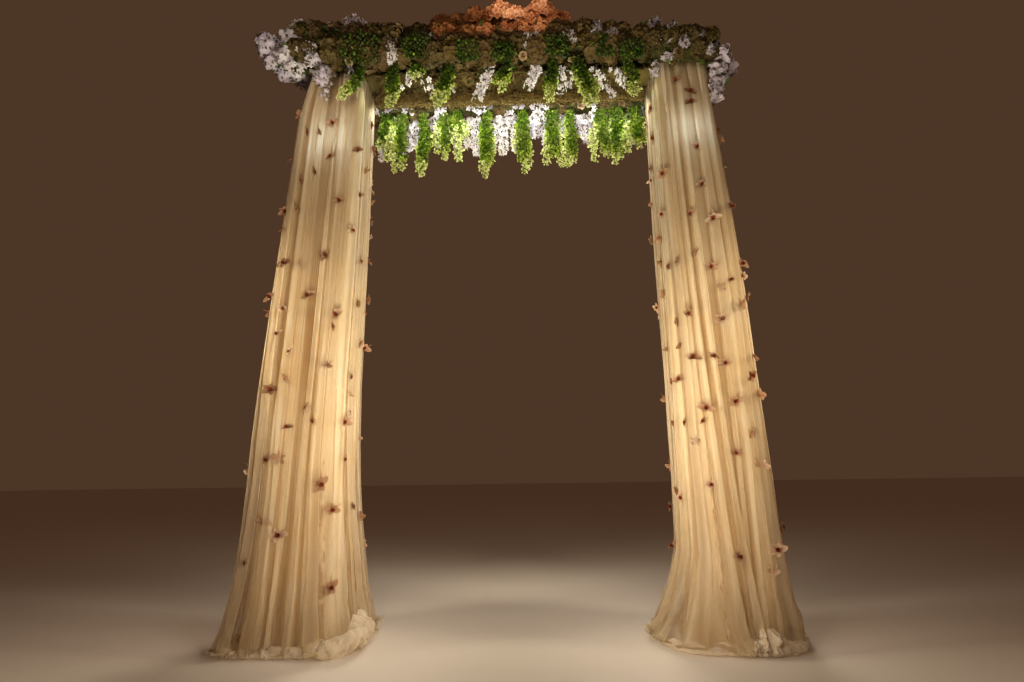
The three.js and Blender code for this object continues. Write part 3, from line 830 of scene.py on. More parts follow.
# %% Petal, leaf and moss materials
def make_veins():
    """Fine ridges that run along a petal and fan out: a sine of the way across, faded at the base."""
    group, given, made = start_group(
        "petal_veins", {"UV": ("Vector", None), "Count": ("Float", 9.0)}, {"Height": ("Float", None)}
    )
    apart = add(group, "SeparateXYZ", {0: given["UV"]}).outputs
    turns = arithmetic(group, "MULTIPLY", apart[0], given["Count"])
    wave = arithmetic(group, "SINE", arithmetic(group, "MULTIPLY", turns, 2 * math.pi))
    group.links.new(arithmetic(group, "MULTIPLY", wave, apart[1]), made["Height"])
    return group


vein_group = make_veins()


def colour_ramp(tree, value, colours):
    """Colours at even steps of a value from 0 to 1, blended between them."""
    ramp = add(tree, "ValToRGB", {0: value})
    stops = ramp.color_ramp.elements
    for k, colour in enumerate(colours[1:-1], 1):
        stops.new(k / (len(colours) - 1)).color = (*colour, 1)
    stops[0].color, stops[-1].color = (*colours[0], 1), (*colours[-1], 1)
    return ramp.outputs[0]


STAIN = (0.40, 0.30, 0.14, 1)
STAIN_SHARE = 0.22
STAIN_SCALE = 9.0
VEINS = 8.0


def petal_material(name, heart, shades, part_colour, rough=0.6, through=0.3):
    """Petals that go from the heart colour at the base to one of the shades, with soft stains. Hearts
    and stalks, which the part mark picks out, have their own colour."""
    material, tree, skin = start_material(name, Roughness=rough, Specular_IOR_Level=0.25)
    uv = add(tree, "UVMap", uv_map="UVMap").outputs[0]
    along = add(tree, "SeparateXYZ", {0: uv}).outputs[1]
    tone = add(tree, "Attribute", attribute_name="tone").outputs["Fac"]
    part = add(tree, "Attribute", attribute_name="part").outputs["Fac"]
    place = add(tree, "TexCoord").outputs["Object"]
    out_share = arithmetic(tree, "POWER", along, 0.8, clamp=True)
    petal_colour = blend_colours(tree, out_share, (*heart, 1), colour_ramp(tree, tone, shades))
    patches = use_group(tree, mottle_group, {"Vector": place, "Scale": STAIN_SCALE})
    stain = arithmetic(tree, "MULTIPLY", patches["Mask"], STAIN_SHARE)
    stained = blend_colours(tree, stain, petal_colour, STAIN)
    colour = blend_colours(tree, part, stained, (*part_colour, 1))
    veins = use_group(tree, vein_group, {"UV": uv, "Count": VEINS})
    coat(tree, skin, colour, veins["Height"], 0.3, 0.002)
    shader = thin_skin(tree, skin, through, {"Color": colour})
    tree.links.new(shader, tree.nodes["Material Output"].inputs["Surface"])
    return material


# each has the heart colour, the shades from tone 0 to tone 1, and the colour of hearts and stalks
# painted shade: the darkest shades of the white orchids are for blooms in dim places, which are given low
# tones
white_orchid_material = petal_material(
    "white_orchid", (0.72, 0.66, 0.76),
    [(0.42, 0.36, 0.42), (0.70, 0.64, 0.72), (0.85, 0.82, 0.82), (0.92, 0.90, 0.86)],
    (0.13, 0.12, 0.05), rough=0.5, through=0.4,
)
# painted shade: the buff heads take the dark browns that they show in dim light, far darker than the flowers'
# own pale colour
BUFF_SHADES_IN_SHADE = [
    (0.045, 0.030, 0.006), (0.075, 0.056, 0.012), (0.145, 0.102, 0.030), (0.105, 0.052, 0.018),
    (0.08, 0.05, 0.025),
]
buff_hydrangea_material = petal_material(
    "buff_hydrangea", (0.08, 0.055, 0.02), BUFF_SHADES_IN_SHADE, (0.02, 0.024, 0.006),
)
coral_hydrangea_material = petal_material(
    "coral_hydrangea", (0.36, 0.13, 0.04),
    [(0.15, 0.065, 0.02), (0.40, 0.175, 0.07), (0.88, 0.41, 0.21), (1.0, 0.64, 0.43)],
    (0.14, 0.06, 0.02),
)
rose_material = petal_material(
    "blush_rose", (0.26, 0.15, 0.08), [(0.20, 0.12, 0.06), (0.30, 0.20, 0.11), (0.46, 0.34, 0.22)],
    (0.30, 0.20, 0.12),
)
leaf_material = petal_material(
    "dark_leaf", (0.012, 0.040, 0.008), [(0.014, 0.05, 0.008), (0.045, 0.12, 0.018), (0.16, 0.26, 0.03)],
    (0.05, 0.04, 0.02), rough=0.45, through=0.2,
)
green_bud_material = petal_material(
    "green_bud", (0.05, 0.11, 0.008),
    [(0.006, 0.020, 0.001), (0.025, 0.075, 0.004), (0.12, 0.22, 0.01), (0.46, 0.60, 0.06), (0.95, 1.0, 0.46)],
    (0.06, 0.09, 0.02), rough=0.5, through=0.4,
)


def ground_material(name, first, second, scale, depth):
    """The rough mass under the blooms: two colours in patches, with a deep bump of the same noise."""
    material, tree, skin = start_material(name, Roughness=0.95, Specular_IOR_Level=0.1)
    place = add(tree, "TexCoord").outputs["Object"]
    feeds = {"Vector": place, "Scale": scale, "First": first, "Second": second}
    patches = use_group(tree, mottle_group, feeds)
    coat(tree, skin, patches["Color"], patches["Mask"], 0.9, depth)
    return material


foliage_material = ground_material(
    "packed_foliage", (0.025, 0.045, 0.012, 1), (0.12, 0.09, 0.04, 1), 22.0, 0.02,
)
moss_material = ground_material(
    "fuzzy_moss", (0.08, 0.055, 0.02, 1), (0.22, 0.16, 0.06, 1), 40.0, 0.012,
)

# %% [markdown]
# A flower bed is floral foam bound to a beam, packed with foliage and then with blooms until nothing
# of it shows. Its section is carried along the header as a closed skin, and the blooms are set on that
# skin in staggered rows, each facing straight out of it with a little chance in its place and turn.

# %% The skin of a flower bed
BED_LOW, BED_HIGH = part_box("front_flower_bed")
BED_TOPS = {"left": 4.15, "middle": 4.08, "right": 3.88}
BEAM_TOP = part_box("front_beam")[1].z
BED_FLAT_HALF = 0.62
SKIN_INSET = 0.045
BED_SECTION = np.array([
    # distance behind or before the header's middle, and height, from the lobe's inner edge round
    (0.206, 3.784), (0.212, 3.705), (0.272, 3.700), (0.332, 3.705), (0.347, 3.76), (0.352, 3.84),
    (0.348, 3.93), (0.318, 4.01), (0.25, 4.07), (0.17, 4.08), (0.09, 4.07), (0.035, 4.02),
    (0.014, 3.94), (0.015, 3.845), (0.145, 3.841), (0.146, 3.784),
])


def swell(x):
    """How much thicker the bed is over its beam than in the middle: a quarter sine to each end."""
    end_x = np.where(x < 0, -BED_LOW.x, BED_HIGH.x)
    end_top = np.where(x < 0, BED_TOPS["left"], BED_TOPS["right"])
    over = np.clip((np.abs(x) - BED_FLAT_HALF) / (end_x - BED_FLAT_HALF), 0, 1)
    top = BED_TOPS["middle"] + (end_top - BED_TOPS["middle"]) * np.sin(over * math.pi / 2)
    return (top - BEAM_TOP) / (BED_TOPS["middle"] - BEAM_TOP)


SECTION_LOOP = np.vstack([BED_SECTION, BED_SECTION[:1]])
SECTION_RUN = np.concatenate([[0], np.cumsum(np.linalg.norm(np.diff(SECTION_LOOP, axis=0), axis=1))])
SECTION_STEP = 0.02
DENT = 0.016
# shares of the way round over which the dents of the skin grow in and fade out again
DENTS_GROW, DENTS_FADE = (0.03, 0.10), (0.72, 0.80)
END_INSET = 0.004
# distance from the header's middle, and height, of the point that each end is drawn in to
END_POINT = (0.24, 3.86)


def on_loop(way):
    """y and height of the section's outline at a share of the way round it."""
    return [np.interp(way % 1, SECTION_RUN / SECTION_RUN[-1], SECTION_LOOP[:, k]) for k in (0, 1)]


def section_at(x, way):
    """A point of the bed's section and its outward normal, at a share of the way round the outline."""
    (y, z), (y_on, z_on), (y_back, z_back) = (on_loop(way + k * SECTION_STEP) for k in (0, 1, -1))
    dy, dz = y_on - y_back, z_on - z_back
    length = np.hypot(dy, dz) + 1e-9
    z = np.where(z > BEAM_TOP, BEAM_TOP + (z - BEAM_TOP) * swell(x), z)
    return y, z, dz / length, -dy / length


def bed_skin(row, sign, stations=120, around=40):
    """The bed's section carried along x, dented by noise, with each end drawn in to a point."""
    x = np.linspace(BED_LOW.x + END_INSET, BED_HIGH.x - END_INSET, stations)[:, None]
    way = np.linspace(0, 1, around)[None, :]
    y, z, ny, nz = section_at(x, way)
    free = ease(*DENTS_GROW, way) * (1 - ease(*DENTS_FADE, way))
    dent = free * (DENT * wander(51 + sign, 14 * x, 30 * way) - SKIN_INSET) * np.minimum(1, swell(x))
    grid = np.stack([x + 0 * way, sign * (y + dent * ny), z + dent * nz], axis=-1)
    rings = []
    for end in (grid[0], grid[-1]):
        centre = np.array([end[0, 0], sign * END_POINT[0], END_POINT[1]])
        rings.append(np.stack([centre + (end - centre) * share for share in (0.02, 0.5)]))
    grid = np.concatenate([rings[0], grid, rings[1][::-1]])
    grid_piece(
        f"{row}_foliage", grid, grid[..., [0, 2]], foliage_material,
        stands_for=[f"{row}_flower_bed"], flip=sign > 0,
    )


ROWS = {"front": -1, "rear": 1}
for row, sign in ROWS.items():
    bed_skin(row, sign)

# %% The blooms on the beds
BLOOM_PITCH = 0.118
# shares of the way round: where blooms stand, where the underside ends and where the inner edge does
COVERED_WAY = (0.03, 0.72)
UNDERSIDE_WAY = 0.22
INNER_EDGE_WAY = 0.07
HEAD_RADII = (0.058, 0.095)
EDGE_HEAD_RADIUS = 0.045
FLORETS_ON_A_HEAD = {"front": 90, "rear": 72}
FLORET_SIZE = {"front": 0.0220, "rear": 0.0245}
BALL_SHARE = 0.82
# a head's points are spread over a whole ball as florets / HEAD_COVER, less those below HEAD_LOW_EDGE
HEAD_LOW_EDGE, HEAD_COVER = -0.20, 0.68
USUAL_RADIUS = 0.085
# x, height, half width and half height of the patch of coral heads on the front bed
CORAL_PATCH = (-0.11, 4.04, 0.50, 0.17)
ROSE_SIZE, BED_ORCHID_SIZE = 0.038, 0.026
ORCHIDS_AT_A_SPOT = 11
# leaves: how deep they are rooted and how long they are, and the same for the extra ones at the right
LEAF_SETS = ((0.035, 0.06), (0.03, 0.040))
RIGHT_END_FROM = 0.85


def bloom_spots(sign, pitch, luck):
    """Staggered places on a bed's outer skin with the way each faces, and chance in both."""
    lines = int(round(SECTION_RUN[-1] * (COVERED_WAY[1] - COVERED_WAY[0]) / pitch))
    count = int(round((BED_HIGH.x - BED_LOW.x) / pitch))
    x, way = np.meshgrid(np.linspace(BED_LOW.x, BED_HIGH.x, count), np.linspace(*COVERED_WAY, lines))
    x = x + pitch * 0.5 * (np.arange(lines) % 2)[:, None] - pitch / 4
    x = (x + luck.uniform(-0.3, 0.3, x.shape) * pitch).ravel().clip(BED_LOW.x, BED_HIGH.x)
    way = (way + luck.uniform(-0.02, 0.02, way.shape)).ravel()
    y, z, ny, nz = section_at(x, way)
    places = np.stack([x, sign * y, z], axis=1)
    outward = np.stack([luck.uniform(-0.25, 0.25, x.shape), sign * ny, nz], axis=1)
    return places, outward / np.linalg.norm(outward, axis=1, keepdims=True), way


def heads(shape, places, outward, radius, luck, tones, florets=88, floret_size=0.0220):
    """Round heads: florets spread over the outer part of a ball, over a dark coarse ball whose colour is
    painted shade for the gaps between them.
    """
    around = ball_points(int(florets / HEAD_COVER))
    turns = facing(outward, luck.uniform(0, FULL_TURN, len(places)))
    around = around[around[:, 2] > HEAD_LOW_EDGE]
    local = np.einsum("nij,vj->nvi", turns, around)
    reach = radius[:, None] * luck.uniform(0.88, 1.08, local.shape[:2])
    spots = (places[:, None] + reach[..., None] * local).reshape(-1, 3)
    aims = (local + luck.normal(0, 0.22, local.shape)).reshape(-1, 3)
    count = len(aims)
    tone = np.repeat(tones, len(around)) + luck.normal(0, 0.14, count)
    grown = np.repeat(radius / USUAL_RADIUS, len(around))
    sizes = floret_size * luck.uniform(0.75, 1.15, count) * grown
    cover = copies(shape, spots, facing(aims, luck.uniform(0, FULL_TURN, count)), sizes, tone.clip(0, 1))
    # painted shade: the dark ball stands for the shade between the florets
    return [cover, copies(BALL, places, turns, radius * BALL_SHARE, tones)]


def leaves(places, outward, size, luck, per_spot=5):
    """Sprigs of leaves that fan out round each place."""
    spots = np.repeat(places, per_spot, axis=0)
    spots = spots + luck.normal(0, 0.02, spots.shape)
    aims = np.repeat(outward, per_spot, axis=0) * 0.5
    return strewn(LEAF, spots, aims, size, luck, wobble=0.6, spread=0.25)


def bed_orchids(places, outward, luck):
    """Small orchids in patches that lie along the skin, with painted shade that dims them towards the right
    end.
    """
    dimmed = luck.uniform(0, 1, len(places)) * (1 - 0.95 * ease(0.7, 1.0, places[:, 0]))
    aside = luck.normal(0, 0.035, (len(places), 3))
    aside = aside - outward * (aside * outward).sum(axis=1, keepdims=True)
    spots = places + outward * (0.012 - 6 * (aside ** 2).sum(axis=1, keepdims=True)) + aside
    return strewn(SMALL_ORCHID, spots, outward, BED_ORCHID_SIZE, luck, dimmed)


def dress_bed(row, sign, luck):
    """Heads, roses, orchids and leaves on one bed. Half of the spots under the rear one hold
    orchids alone, and the heads towards the right end are smaller and set deeper."""
    places, outward, way = bloom_spots(sign, BLOOM_PITCH, luck)
    x, count = places[:, 0], len(places)
    draw = luck.uniform(0, 1, count)
    is_orchid = draw < 0.06 + 0.30 * ease(0.9, 1.5, np.abs(x)) * (x < 0)
    if row == "rear":
        is_orchid = is_orchid | ((way < UNDERSIDE_WAY) & (draw < 0.5))
    is_rose = (draw > 0.90) & ~is_orchid
    middle_x, middle_z, half_x, half_z = CORAL_PATCH
    off = ((x - middle_x) / half_x) ** 2 + ((places[:, 2] - middle_z) / half_z) ** 2
    is_coral = (off < 1) & ~is_orchid & (row == "front")
    is_buff = ~is_rose & ~is_coral & ~(is_orchid & (way < UNDERSIDE_WAY))
    radius = np.where(way < INNER_EDGE_WAY, EDGE_HEAD_RADIUS, luck.uniform(*HEAD_RADII, count))
    loose = ease(0.75, 1.1, x) * (way > INNER_EDGE_WAY)
    radius = radius * (1 - 0.35 * loose * luck.uniform(0, 1, count))
    sunk = 0.8 + 0.25 * (outward[:, 2] > 0.4) - 0.35 * loose * luck.uniform(0, 1, count)
    middles = places - outward * (sunk * radius)[:, None]
    tone_with_end_shade = 0.5 + 0.75 * wander(5, 5 * x, 8 * places[:, 2], 8 * places[:, 1])
    # painted shade: the heads darken towards the right end
    tone_with_end_shade = (tone_with_end_shade * (1 - 0.75 * ease(0.9, 1.3, x))).clip(0, 1)
    buff = heads(
        FLORET, middles[is_buff], outward[is_buff], radius[is_buff], luck, tone_with_end_shade[is_buff],
        FLORETS_ON_A_HEAD[row], FLORET_SIZE[row],
    )
    flower_piece(f"{row}_hydrangeas", buff, buff_hydrangea_material)
    if is_coral.any():
        rust = 0.55 * ease(-0.35, 0.0, x[is_coral]) + luck.uniform(-0.05, 0.25, is_coral.sum())
        coral = heads(FLORET, middles[is_coral], outward[is_coral], radius[is_coral], luck, rust)
        flower_piece(f"{row}_coral_heads", coral, coral_hydrangea_material)
    roses = strewn(ROSE, places[is_rose], outward[is_rose], ROSE_SIZE, luck)
    flower_piece(f"{row}_roses", [roses], rose_material)
    patch = np.repeat(np.where(is_orchid)[0], ORCHIDS_AT_A_SPOT)
    orchids = bed_orchids(places[patch], outward[patch], luck)
    flower_piece(f"{row}_bed_orchids", [orchids], white_orchid_material)
    leafy = (way > UNDERSIDE_WAY) | (row == "front")
    sprigs = [
        leaves(places[where] - outward[where] * deep, outward[where], size, luck)
        for where, (deep, size) in zip((leafy, leafy & (x > RIGHT_END_FROM)), LEAF_SETS)
    ]
    flower_piece(f"{row}_leaves", sprigs, leaf_material)


for row, sign in ROWS.items():
    dress_bed(row, sign, np.random.default_rng(70 + sign))

# %% [markdown]
# Clumps of dark greenery break up the face of the front bed. They are the same little green buds as
# on the hanging tails, packed over half a ball, so the eye reads them as one bush with a soft outline.

# %% Dark clumps on the front face
CLUMPS = np.array([
    # x, height, radius
    (-1.01, 3.80, 0.15), (-0.62, 3.80, 0.11), (-0.28, 3.75, 0.09), (-0.03, 3.73, 0.08), (0.34, 3.77, 0.09),
    (0.66, 3.76, 0.09), (0.86, 3.72, 0.08),
])
CLUMP_Y = -0.350
CLUMP_STRETCH = [1, 0.30, 1]
BUDS_ON_A_BALL = 260
CLUMP_BUD = 0.016

luck = np.random.default_rng(88)
around = ball_points(BUDS_ON_A_BALL)
around = around[(around[:, 1] < 0.15) & (around[:, 2] < 0.8)]
clump_places = np.column_stack([CLUMPS[:, 0], np.full(len(CLUMPS), CLUMP_Y), CLUMPS[:, 1]])
normals = np.tile(around, (len(CLUMPS), 1))
reach = np.repeat(CLUMPS[:, 2], len(around))[:, None] * luck.uniform(0.7, 1.0, (len(normals), 1))
spots = np.repeat(clump_places, len(around), axis=0) + normals * reach * CLUMP_STRETCH
clump_tones = 0.10 + 0.45 * luck.uniform(0, 1, len(spots)) ** 4
clump_buds = strewn(BUD, spots, normals * [1, 0.8, 1], CLUMP_BUD, luck, clump_tones, 0.35, 0.25)
flower_piece("front_green_clumps", [clump_buds], green_bud_material)

# %% [markdown]
# Finishing touches that florists call tucking in. Loose florets hide the edge of the front beam from
# below, and more florets and narrow leaves are tucked up under the soffit cloth. Small clusters of
# lilac orchids stand where the photograph shows them: over the left column, on top of the bed, between
# the green clumps and at the right end.

# %% Tucked-in florets and orchids
EDGE_FLORETS, EDGE_FLORET_SIZE = 2400, 0.018
SOFFIT_FLORETS, SOFFIT_FLORET_SIZE = 1500, 0.017
SOFFIT_LEAVES, SOFFIT_LEAF_SIZE = 260, 0.045
# y and height of the beam's edge, and how far back and up the florets reach from there
BEAM_EDGE, BEAM_EDGE_REACH = (-0.222, 3.690), (0.022, 0.085)
SOFFIT_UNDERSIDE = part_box("soffit_lining")[0].z - 0.008
# the foremost y of what is tucked under the soffit, and how far back from there it reaches
TUCKED_FROM, TUCKED_REACH = -0.215, 0.30

luck = np.random.default_rng(93)
edge_x = luck.uniform(BED_LOW.x * 0.70, BED_HIGH.x * 0.72, EDGE_FLORETS)
edge_turn = luck.uniform(0, 1, EDGE_FLORETS)
edge_y = BEAM_EDGE[0] + BEAM_EDGE_REACH[0] * edge_turn + luck.normal(0, 0.004, EDGE_FLORETS)
edge_z = BEAM_EDGE[1] + BEAM_EDGE_REACH[1] * edge_turn ** 2 + 0.012 * wander(95, 20 * edge_x)
edge_aims = np.stack([luck.normal(0, 0.3, EDGE_FLORETS), 0.2 + edge_turn, edge_turn - 1.2], axis=1)
edge_places = np.stack([edge_x, edge_y, edge_z], axis=1)
edge_florets = strewn(FLORET, edge_places, edge_aims, EDGE_FLORET_SIZE, luck, 0.3 + 0.4 * edge_turn)


def under_soffit(shape, count, size, backward, wobble, luck):
    """Copies of a shape that hang close under the soffit cloth, most of them near the front bed and
    in drifts along it."""
    x = luck.uniform(BED_LOW.x * 0.66, BED_HIGH.x * 0.68, 4 * count)
    x = x[wander(97, 4 * x) + luck.uniform(-0.6, 1.2, len(x)) > 0][:count]
    y = TUCKED_FROM + TUCKED_REACH * luck.uniform(0, 1, len(x)) ** 2
    spots = np.stack([x, y, SOFFIT_UNDERSIDE - luck.uniform(0.004, 0.026, len(x))], axis=1)
    aims = np.tile([0.0, -backward, -1.0], (len(spots), 1))
    return strewn(shape, spots, aims, size, luck, wobble=wobble)


soffit_florets = under_soffit(FLORET, SOFFIT_FLORETS, SOFFIT_FLORET_SIZE, 0.5, 0.5, luck)
flower_piece(
    "front_edge_florets", [edge_florets, soffit_florets], buff_hydrangea_material,
)
soffit_leaves = under_soffit(NARROW_LEAF, SOFFIT_LEAVES, SOFFIT_LEAF_SIZE, 0.6, 0.8, luck)
flower_piece("soffit_leaves", [soffit_leaves], leaf_material)

CLUSTERS = np.array([
    # x, y, z, half width, half height, tone, which is low for the clusters in painted shade
    (-1.285, -0.325, 3.620, 0.050, 0.090, 0.05), (-1.36, -0.34, 3.73, 0.045, 0.05, 0.45),
    (-1.10, -0.280, 4.090, 0.085, 0.060, 0.05), (0.63, -0.345, 3.89, 0.035, 0.075, 0.05),
    (0.94, -0.33, 3.84, 0.035, 0.035, 0.4), (0.73, -0.34, 3.86, 0.035, 0.04, 0.6),
    (1.03, -0.33, 3.80, 0.03, 0.04, 0.5), (-0.80, -0.345, 3.74, 0.03, 0.06, 0.8),
    (1.14, -0.36, 3.88, 0.020, 0.030, 0.2), (1.22, -0.36, 3.76, 0.025, 0.025, 0.0),
    (1.34, -0.35, 3.82, 0.020, 0.030, 0.0), (1.40, -0.33, 3.72, 0.025, 0.030, 0.1),
    (1.05, -0.31, 3.99, 0.025, 0.020, 0.1),
])
ORCHIDS_PER_CLUSTER = 46
CLUSTER_ORCHID = 0.024

around = np.repeat(CLUSTERS, ORCHIDS_PER_CLUSTER, axis=0)
directions = np.tile(ball_points(ORCHIDS_PER_CLUSTER), (len(CLUSTERS), 1))
half_sizes = np.stack([around[:, 3], 0.4 * around[:, 3], around[:, 4]], axis=1)
spots = around[:, :3] + directions * half_sizes * luck.uniform(0.5, 1.1, (len(around), 1))
aims = directions + [0, -0.6, -0.2]
tucked = strewn(SMALL_ORCHID, spots, aims, CLUSTER_ORCHID, luck, around[:, 5], 0.3, 0.25)
flower_piece("tucked_orchids", [tucked], white_orchid_material)

# %% [markdown]
# The coral hydrangeas stand up in the middle of the header, and white orchids spill over both ends. At
# the right end one string of them hangs down and another arches up and back. Each is built round balls
# that stand where the frame's solids are, and no bloom is set where another ball already covers it.

# %% The coral heads on top
TOP_HEADS = np.array([
    # x, y, height above the bed, radius, tone
    (-0.48, -0.17, 0.035, 0.090, 0.08), (-0.36, -0.15, 0.060, 0.095, 0.22),
    (-0.23, -0.18, 0.070, 0.100, 0.30), (-0.05, -0.16, 0.115, 0.115, 0.90),
    (0.06, -0.20, 0.060, 0.095, 0.95), (0.15, -0.19, 0.050, 0.090, 0.80),
    (0.25, -0.15, 0.150, 0.105, 0.85), (0.37, -0.18, 0.030, 0.090, 0.55),
])
CORAL_FLORETS, CORAL_FLORET_SIZE = 150, 0.0225

top_places = TOP_HEADS[:, :3] + [0, 0, BED_TOPS["middle"]]
upward = np.tile([0.0, -0.35, 1.0], (len(top_places), 1))
top_coral = heads(
    CORAL_FLORET, top_places, upward, TOP_HEADS[:, 3], np.random.default_rng(91), TOP_HEADS[:, 4],
    CORAL_FLORETS, CORAL_FLORET_SIZE,
)
flower_piece(
    "top_coral_hydrangeas", top_coral, coral_hydrangea_material, ["top_hydrangea_heads"],
)

# %% The orchids at the ends
END_BALLS = {
    # distance past the bed's end, y, z, radius
    "left": np.array([
        (0.10, -0.09, 3.93, 0.16), (0.06, -0.25, 3.97, 0.12), (0.14, -0.15, 4.02, 0.11),
        (0.23, -0.26, 3.93, 0.11), (0.11, -0.11, 3.88, 0.12), (0.19, -0.22, 3.84, 0.095),
        (0.08, -0.28, 3.82, 0.10), (0.16, -0.12, 3.85, 0.10), (0.06, 0.06, 4.01, 0.11),
        (0.13, 0.15, 4.01, 0.11),
    ]),
    "right": np.array([
        (0.015, -0.10, 3.86, 0.115), (0.015, -0.22, 3.85, 0.10), (0.065, -0.16, 3.82, 0.105),
        (0.085, -0.25, 3.72, 0.085), (0.055, -0.24, 3.62, 0.07), (0.045, -0.23, 3.52, 0.06),
        (0.03, -0.22, 3.43, 0.055), (0.015, 0.08, 3.86, 0.11), (0.045, 0.18, 3.84, 0.10),
        (0.075, -0.04, 3.92, 0.115), (0.115, 0.04, 3.99, 0.105), (0.185, 0.10, 4.02, 0.10),
        (0.25, 0.16, 4.02, 0.105), (0.327, 0.22, 4.04, 0.105),
    ]),
}
END_BLOOM = 0.040
BLOOMS_PER_BALL = 60
CORE_INSET = 0.025
BLOOMS_PER_SPRIG = 9


def outer_spots(centres, radius):
    """Places and normals of blooms on balls, without those that lie inside another of the balls."""
    normals = np.tile(ball_points(BLOOMS_PER_BALL), (len(centres), 1))
    own = np.repeat(np.arange(len(centres)), BLOOMS_PER_BALL)
    spots = centres[own] + normals * radius[own][:, None]
    depth = np.linalg.norm(spots[:, None] - centres[None], axis=2) - radius[None]
    depth[np.arange(len(spots)), own] = 1.0
    clear = depth.min(axis=1) > -0.01
    return spots[clear], normals[clear]


for side, sign in SIDES.items():
    luck = np.random.default_rng(100 + sign)
    balls = END_BALLS[side]
    bed_end = (BED_LOW if side == "left" else BED_HIGH).x
    centres = np.column_stack([bed_end + sign * balls[:, 0], balls[:, 1:3]])
    radius = balls[:, 3] - 0.8 * END_BLOOM
    spots, normals = outer_spots(centres, radius)
    past_end = sign * (spots[:, 0] - bed_end)
    free = (past_end > -0.02) | (spots[:, 1] < -0.30)
    spots, normals, past_end = spots[free], normals[free], past_end[free]
    # painted light and shade: the left end's blooms are pale near the bed and darker further out, those at
    # the right end are dim, and all on the rear side are darker
    painted_end_light = ease(0.0, 0.30, 0.28 - past_end) if side == "left" else 0.15
    tones = (0.15 + 0.7 * painted_end_light) * (1 - 0.9 * ease(-0.10, 0.0, spots[:, 1]))
    blooms = strewn(ORCHID, spots, normals, END_BLOOM, luck, tones, 0.35, 0.25)
    flower_piece(
        f"{side}_end_blooms", [blooms], white_orchid_material, [f"{side}_end_orchids"],
    )
    turns = facing(np.tile([0.0, 0.0, 1.0], (len(balls), 1)), np.zeros(len(balls)))
    cores = copies(BALL, centres, turns, radius - CORE_INSET, np.zeros(len(balls)))
    spots, normals = spots[::BLOOMS_PER_SPRIG], normals[::BLOOMS_PER_SPRIG]
    sprigs = leaves(spots - normals * 0.02, normals, 0.045, luck, per_spot=2)
    flower_piece(f"{side}_end_leaves", [cores, sprigs], leaf_material)

# %% [markdown]
# Two rows hang under the header. The green tails are stems of little buds, set in whorls from top to
# tip, with a few narrow leaves between. Their colour holds painted shade and light: the buds are dark in
# the heart of a tail and lime along its rim and at its tip. Each tail is a bunch of three or four stems of
# unequal length, which gives it a loose outline. Thin wires under the beds carry them, and between them hang
# strings of small white orchids, which are thick as a curtain at the rear.

# %% Green tails
ROW_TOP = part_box("front_green_tails")[1].z
TAILS = {
    # x at the wire, x at the tip and length of each tail
    "front": [
        (-0.99, -1.11, 0.27), (-0.78, -0.82, 0.34), (-0.64, -0.62, 0.11), (-0.39, -0.49, 0.34),
        (-0.01, -0.05, 0.24), (0.31, 0.28, 0.32), (0.49, 0.59, 0.39), (0.84, 0.88, 0.31),
    ],
    "rear": [
        (-0.99, -1.01, 0.29), (-0.83, -0.86, 0.47), (-0.67, -0.67, 0.53), (-0.50, -0.51, 0.40),
        (-0.43, -0.42, 0.21), (-0.17, -0.19, 0.54), (0.10, 0.11, 0.51), (0.33, 0.35, 0.46),
        (0.50, 0.50, 0.47), (0.73, 0.74, 0.43), (0.84, 0.83, 0.45), (0.98, 1.01, 0.36),
    ],
}
# how a row hangs: its y, stems in a tail, how far apart they are and how far forward they start, then
# the tones of a tail's heart and rim, which are painted shade and painted light, the share of its length
# where the tip starts to pale with painted light, and how pale the rim is next to the tip
Row = namedtuple("Row", "y stems spread forward heart rim pale_from rim_share")
HANGING = {
    "front": Row(-0.298, 3, 0.026, 0.0, 0.32, 1.25, 0.45, 0.60),
    "rear": Row(0.252, 4, 0.042, 0.042, 0.50, 1.20, 0.65, 0.95),
}
WHORL_STEP = 0.021
BUDS_IN_A_WHORL = 5
BUD_SIZE = 0.0175
CLOSED_SHARE = 0.35
STEM_RADIUS = 0.0025


def tail_light_and_shade(row, tail, places):
    """Tones of a tail's buds, with painted shade and light: dark in its heart, pale along its rim and at its
    tip.
    """
    x, tip_x, length = tail
    t = (ROW_TOP - places[:, 2]) / length
    aside = np.abs(places[:, 0] - x - (tip_x - x) * t) / (1.3 * row.spread + BUD_SIZE)
    at_rim = row.rim_share * ease(0.35, 1.0, aside) * ease(0.10, 0.45, t)
    return row.heart + (row.rim - row.heart) * np.maximum(at_rim, ease(row.pale_from, 1.0, t))


